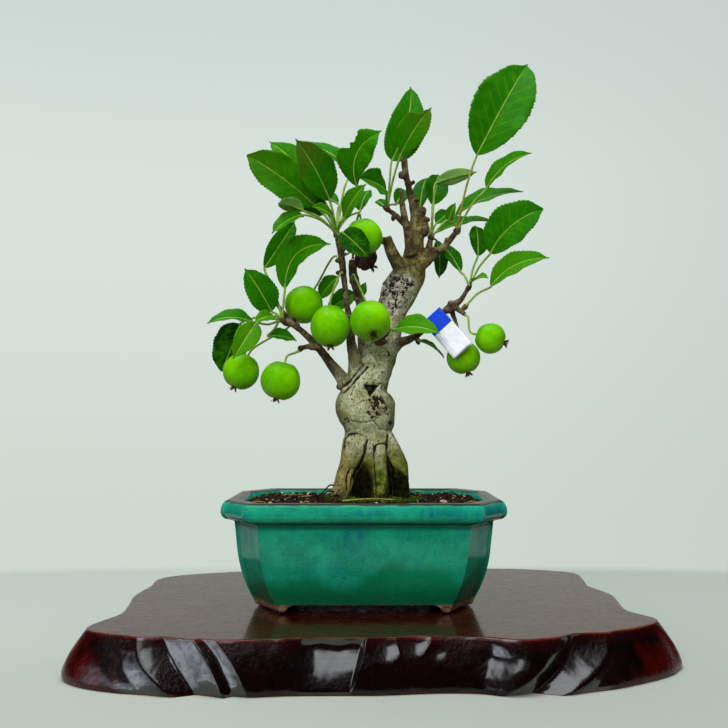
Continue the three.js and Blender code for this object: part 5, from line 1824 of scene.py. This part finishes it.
def putCrumbs(heap):
    for _ in range(soil["crumbs"]):
        x, y = soilSpot(13)
        size = 0.35 + 1.0 * dice.uniform() ** 3
        z = soilTop(x, y)[0] + size * 0.2
        finish = "grit" if dice.uniform() < soil["grit share"] else "earth"
        putCrumb(heap, potOrigin + (x, y, z), size, soilFinish[finish])
    for place, size in soil["pebbles"]:
        putCrumb(heap, potOrigin + place, size, soilFinish["grit"])


def putRootlets(heap):
    for k in range(soil["rootlets"]):
        x, y = soilSpot(14)
        angle = dice.uniform(0, 2 * math.pi)
        long = dice.uniform(3, 9)
        share = np.linspace(-0.5, 0.5, 7)
        bow = dice.uniform(-1.5, 1.5)
        px = x + long * share * math.cos(angle) - bow * (share ** 2) * math.sin(angle)
        py = y + long * share * math.sin(angle) + bow * (share ** 2) * math.cos(angle)
        pz = soilTop(px, py) + 0.35 + dice.uniform(0, 0.8) * (1 - 4 * share ** 2)
        rings = tubeRings(np.column_stack([px, py, pz]), 0.22, 5, (0, 0, 1))
        finish = "earth" if k % 3 else "straw"
        putLoft(heap, rings + potOrigin, soilFinish[finish], shade=dice.uniform())
    for stations, radius, finish in soil["strands"]:
        line = smoothLine(stations, np.linspace(0, 1, 14))
        rings = tubeRings(line, np.linspace(radius, radius * 0.5, 14), 6, (0, 0, 1))
        putLoft(heap, rings + potOrigin, soilFinish[finish], shade=0.2)


# Moss grows in patches round the trunk
def putTufts(heap):
    for _ in range(soil["tufts"]):
        angle = dice.uniform(0, 2 * math.pi)
        out = 12 + 12 * dice.uniform() ** 1.6
        x, y = 4 + 1.15 * out * math.cos(angle), -3 + 0.95 * out * math.sin(angle)
        if bumps(np.array([[x, y, 0]]), 6, 5)[0] < -0.25:
            continue
        z = soilTop(x, y)[0]
        lean = dice.uniform(-0.5, 0.5, 2)
        tall = dice.uniform(0.7, 2.0)
        line = [
            (x, y, z - 0.3),
            (x + lean[0] * tall * 0.5, y + lean[1] * tall * 0.5, z + tall * 0.6),
            (x + lean[0] * tall, y + lean[1] * tall, z + tall),
        ]
        rings = tubeRings(line, [0.3, 0.24, 0.05], 4)
        putLoft(heap, rings + potOrigin, soilFinish["moss"], shade=dice.uniform())


def buildSoil():
    piece = putSoilBody()
    loose = gather("shade")
    putCrumbs(loose)
    putRootlets(loose)
    putTufts(loose)
    added = makeMesh(loose, "loose", [earth, grit, moss, straw])
    whole = bmesh.new()
    whole.from_mesh(piece.data)
    whole.from_mesh(added)
    whole.to_mesh(piece.data)
    whole.free()
    bpy.data.meshes.remove(added)
    piece.data.shade_smooth()
    return piece


def buildEarth(tree):
    place = objectPlace(tree)
    rusty = fade(tree, pointValue(tree, "shade"), 0.6, 1.0, 0.0, 0.5)
    color = layered(tree, mottled(tree, place, 330.0, (10, 8, 6), (54, 36, 24)), [(rusty, 1, (96, 58, 32))])
    fine = noiseOf(tree, place, 900.0, 4.0, 0.7)
    return {"Base Color": color, "Normal": bumpOf(tree, fine, 0.8, 0.0008)}


earth = newMaterial("dark earth", buildEarth, Roughness=0.95, Specular_IOR_Level=0.25)
grit = mottledSkin(
    "pale grit", 500.0, (128, 108, 78), (214, 200, 168), 1200.0, 3.0, (0.5, 0.0005), Roughness=0.9,
)
moss = mottledSkin(
    "moss", 300.0, (26, 50, 12), (84, 118, 26), 1500.0, 2.0, (0.5, 0.0003), Roughness=0.9,
)
straw = mottledSkin(
    "straw", 300.0, (112, 104, 44), (176, 164, 84), (300, 1500, 1500), 2.0, (0.4, 0.0003), Roughness=0.7,
)
buildSoil()
print("soil made")
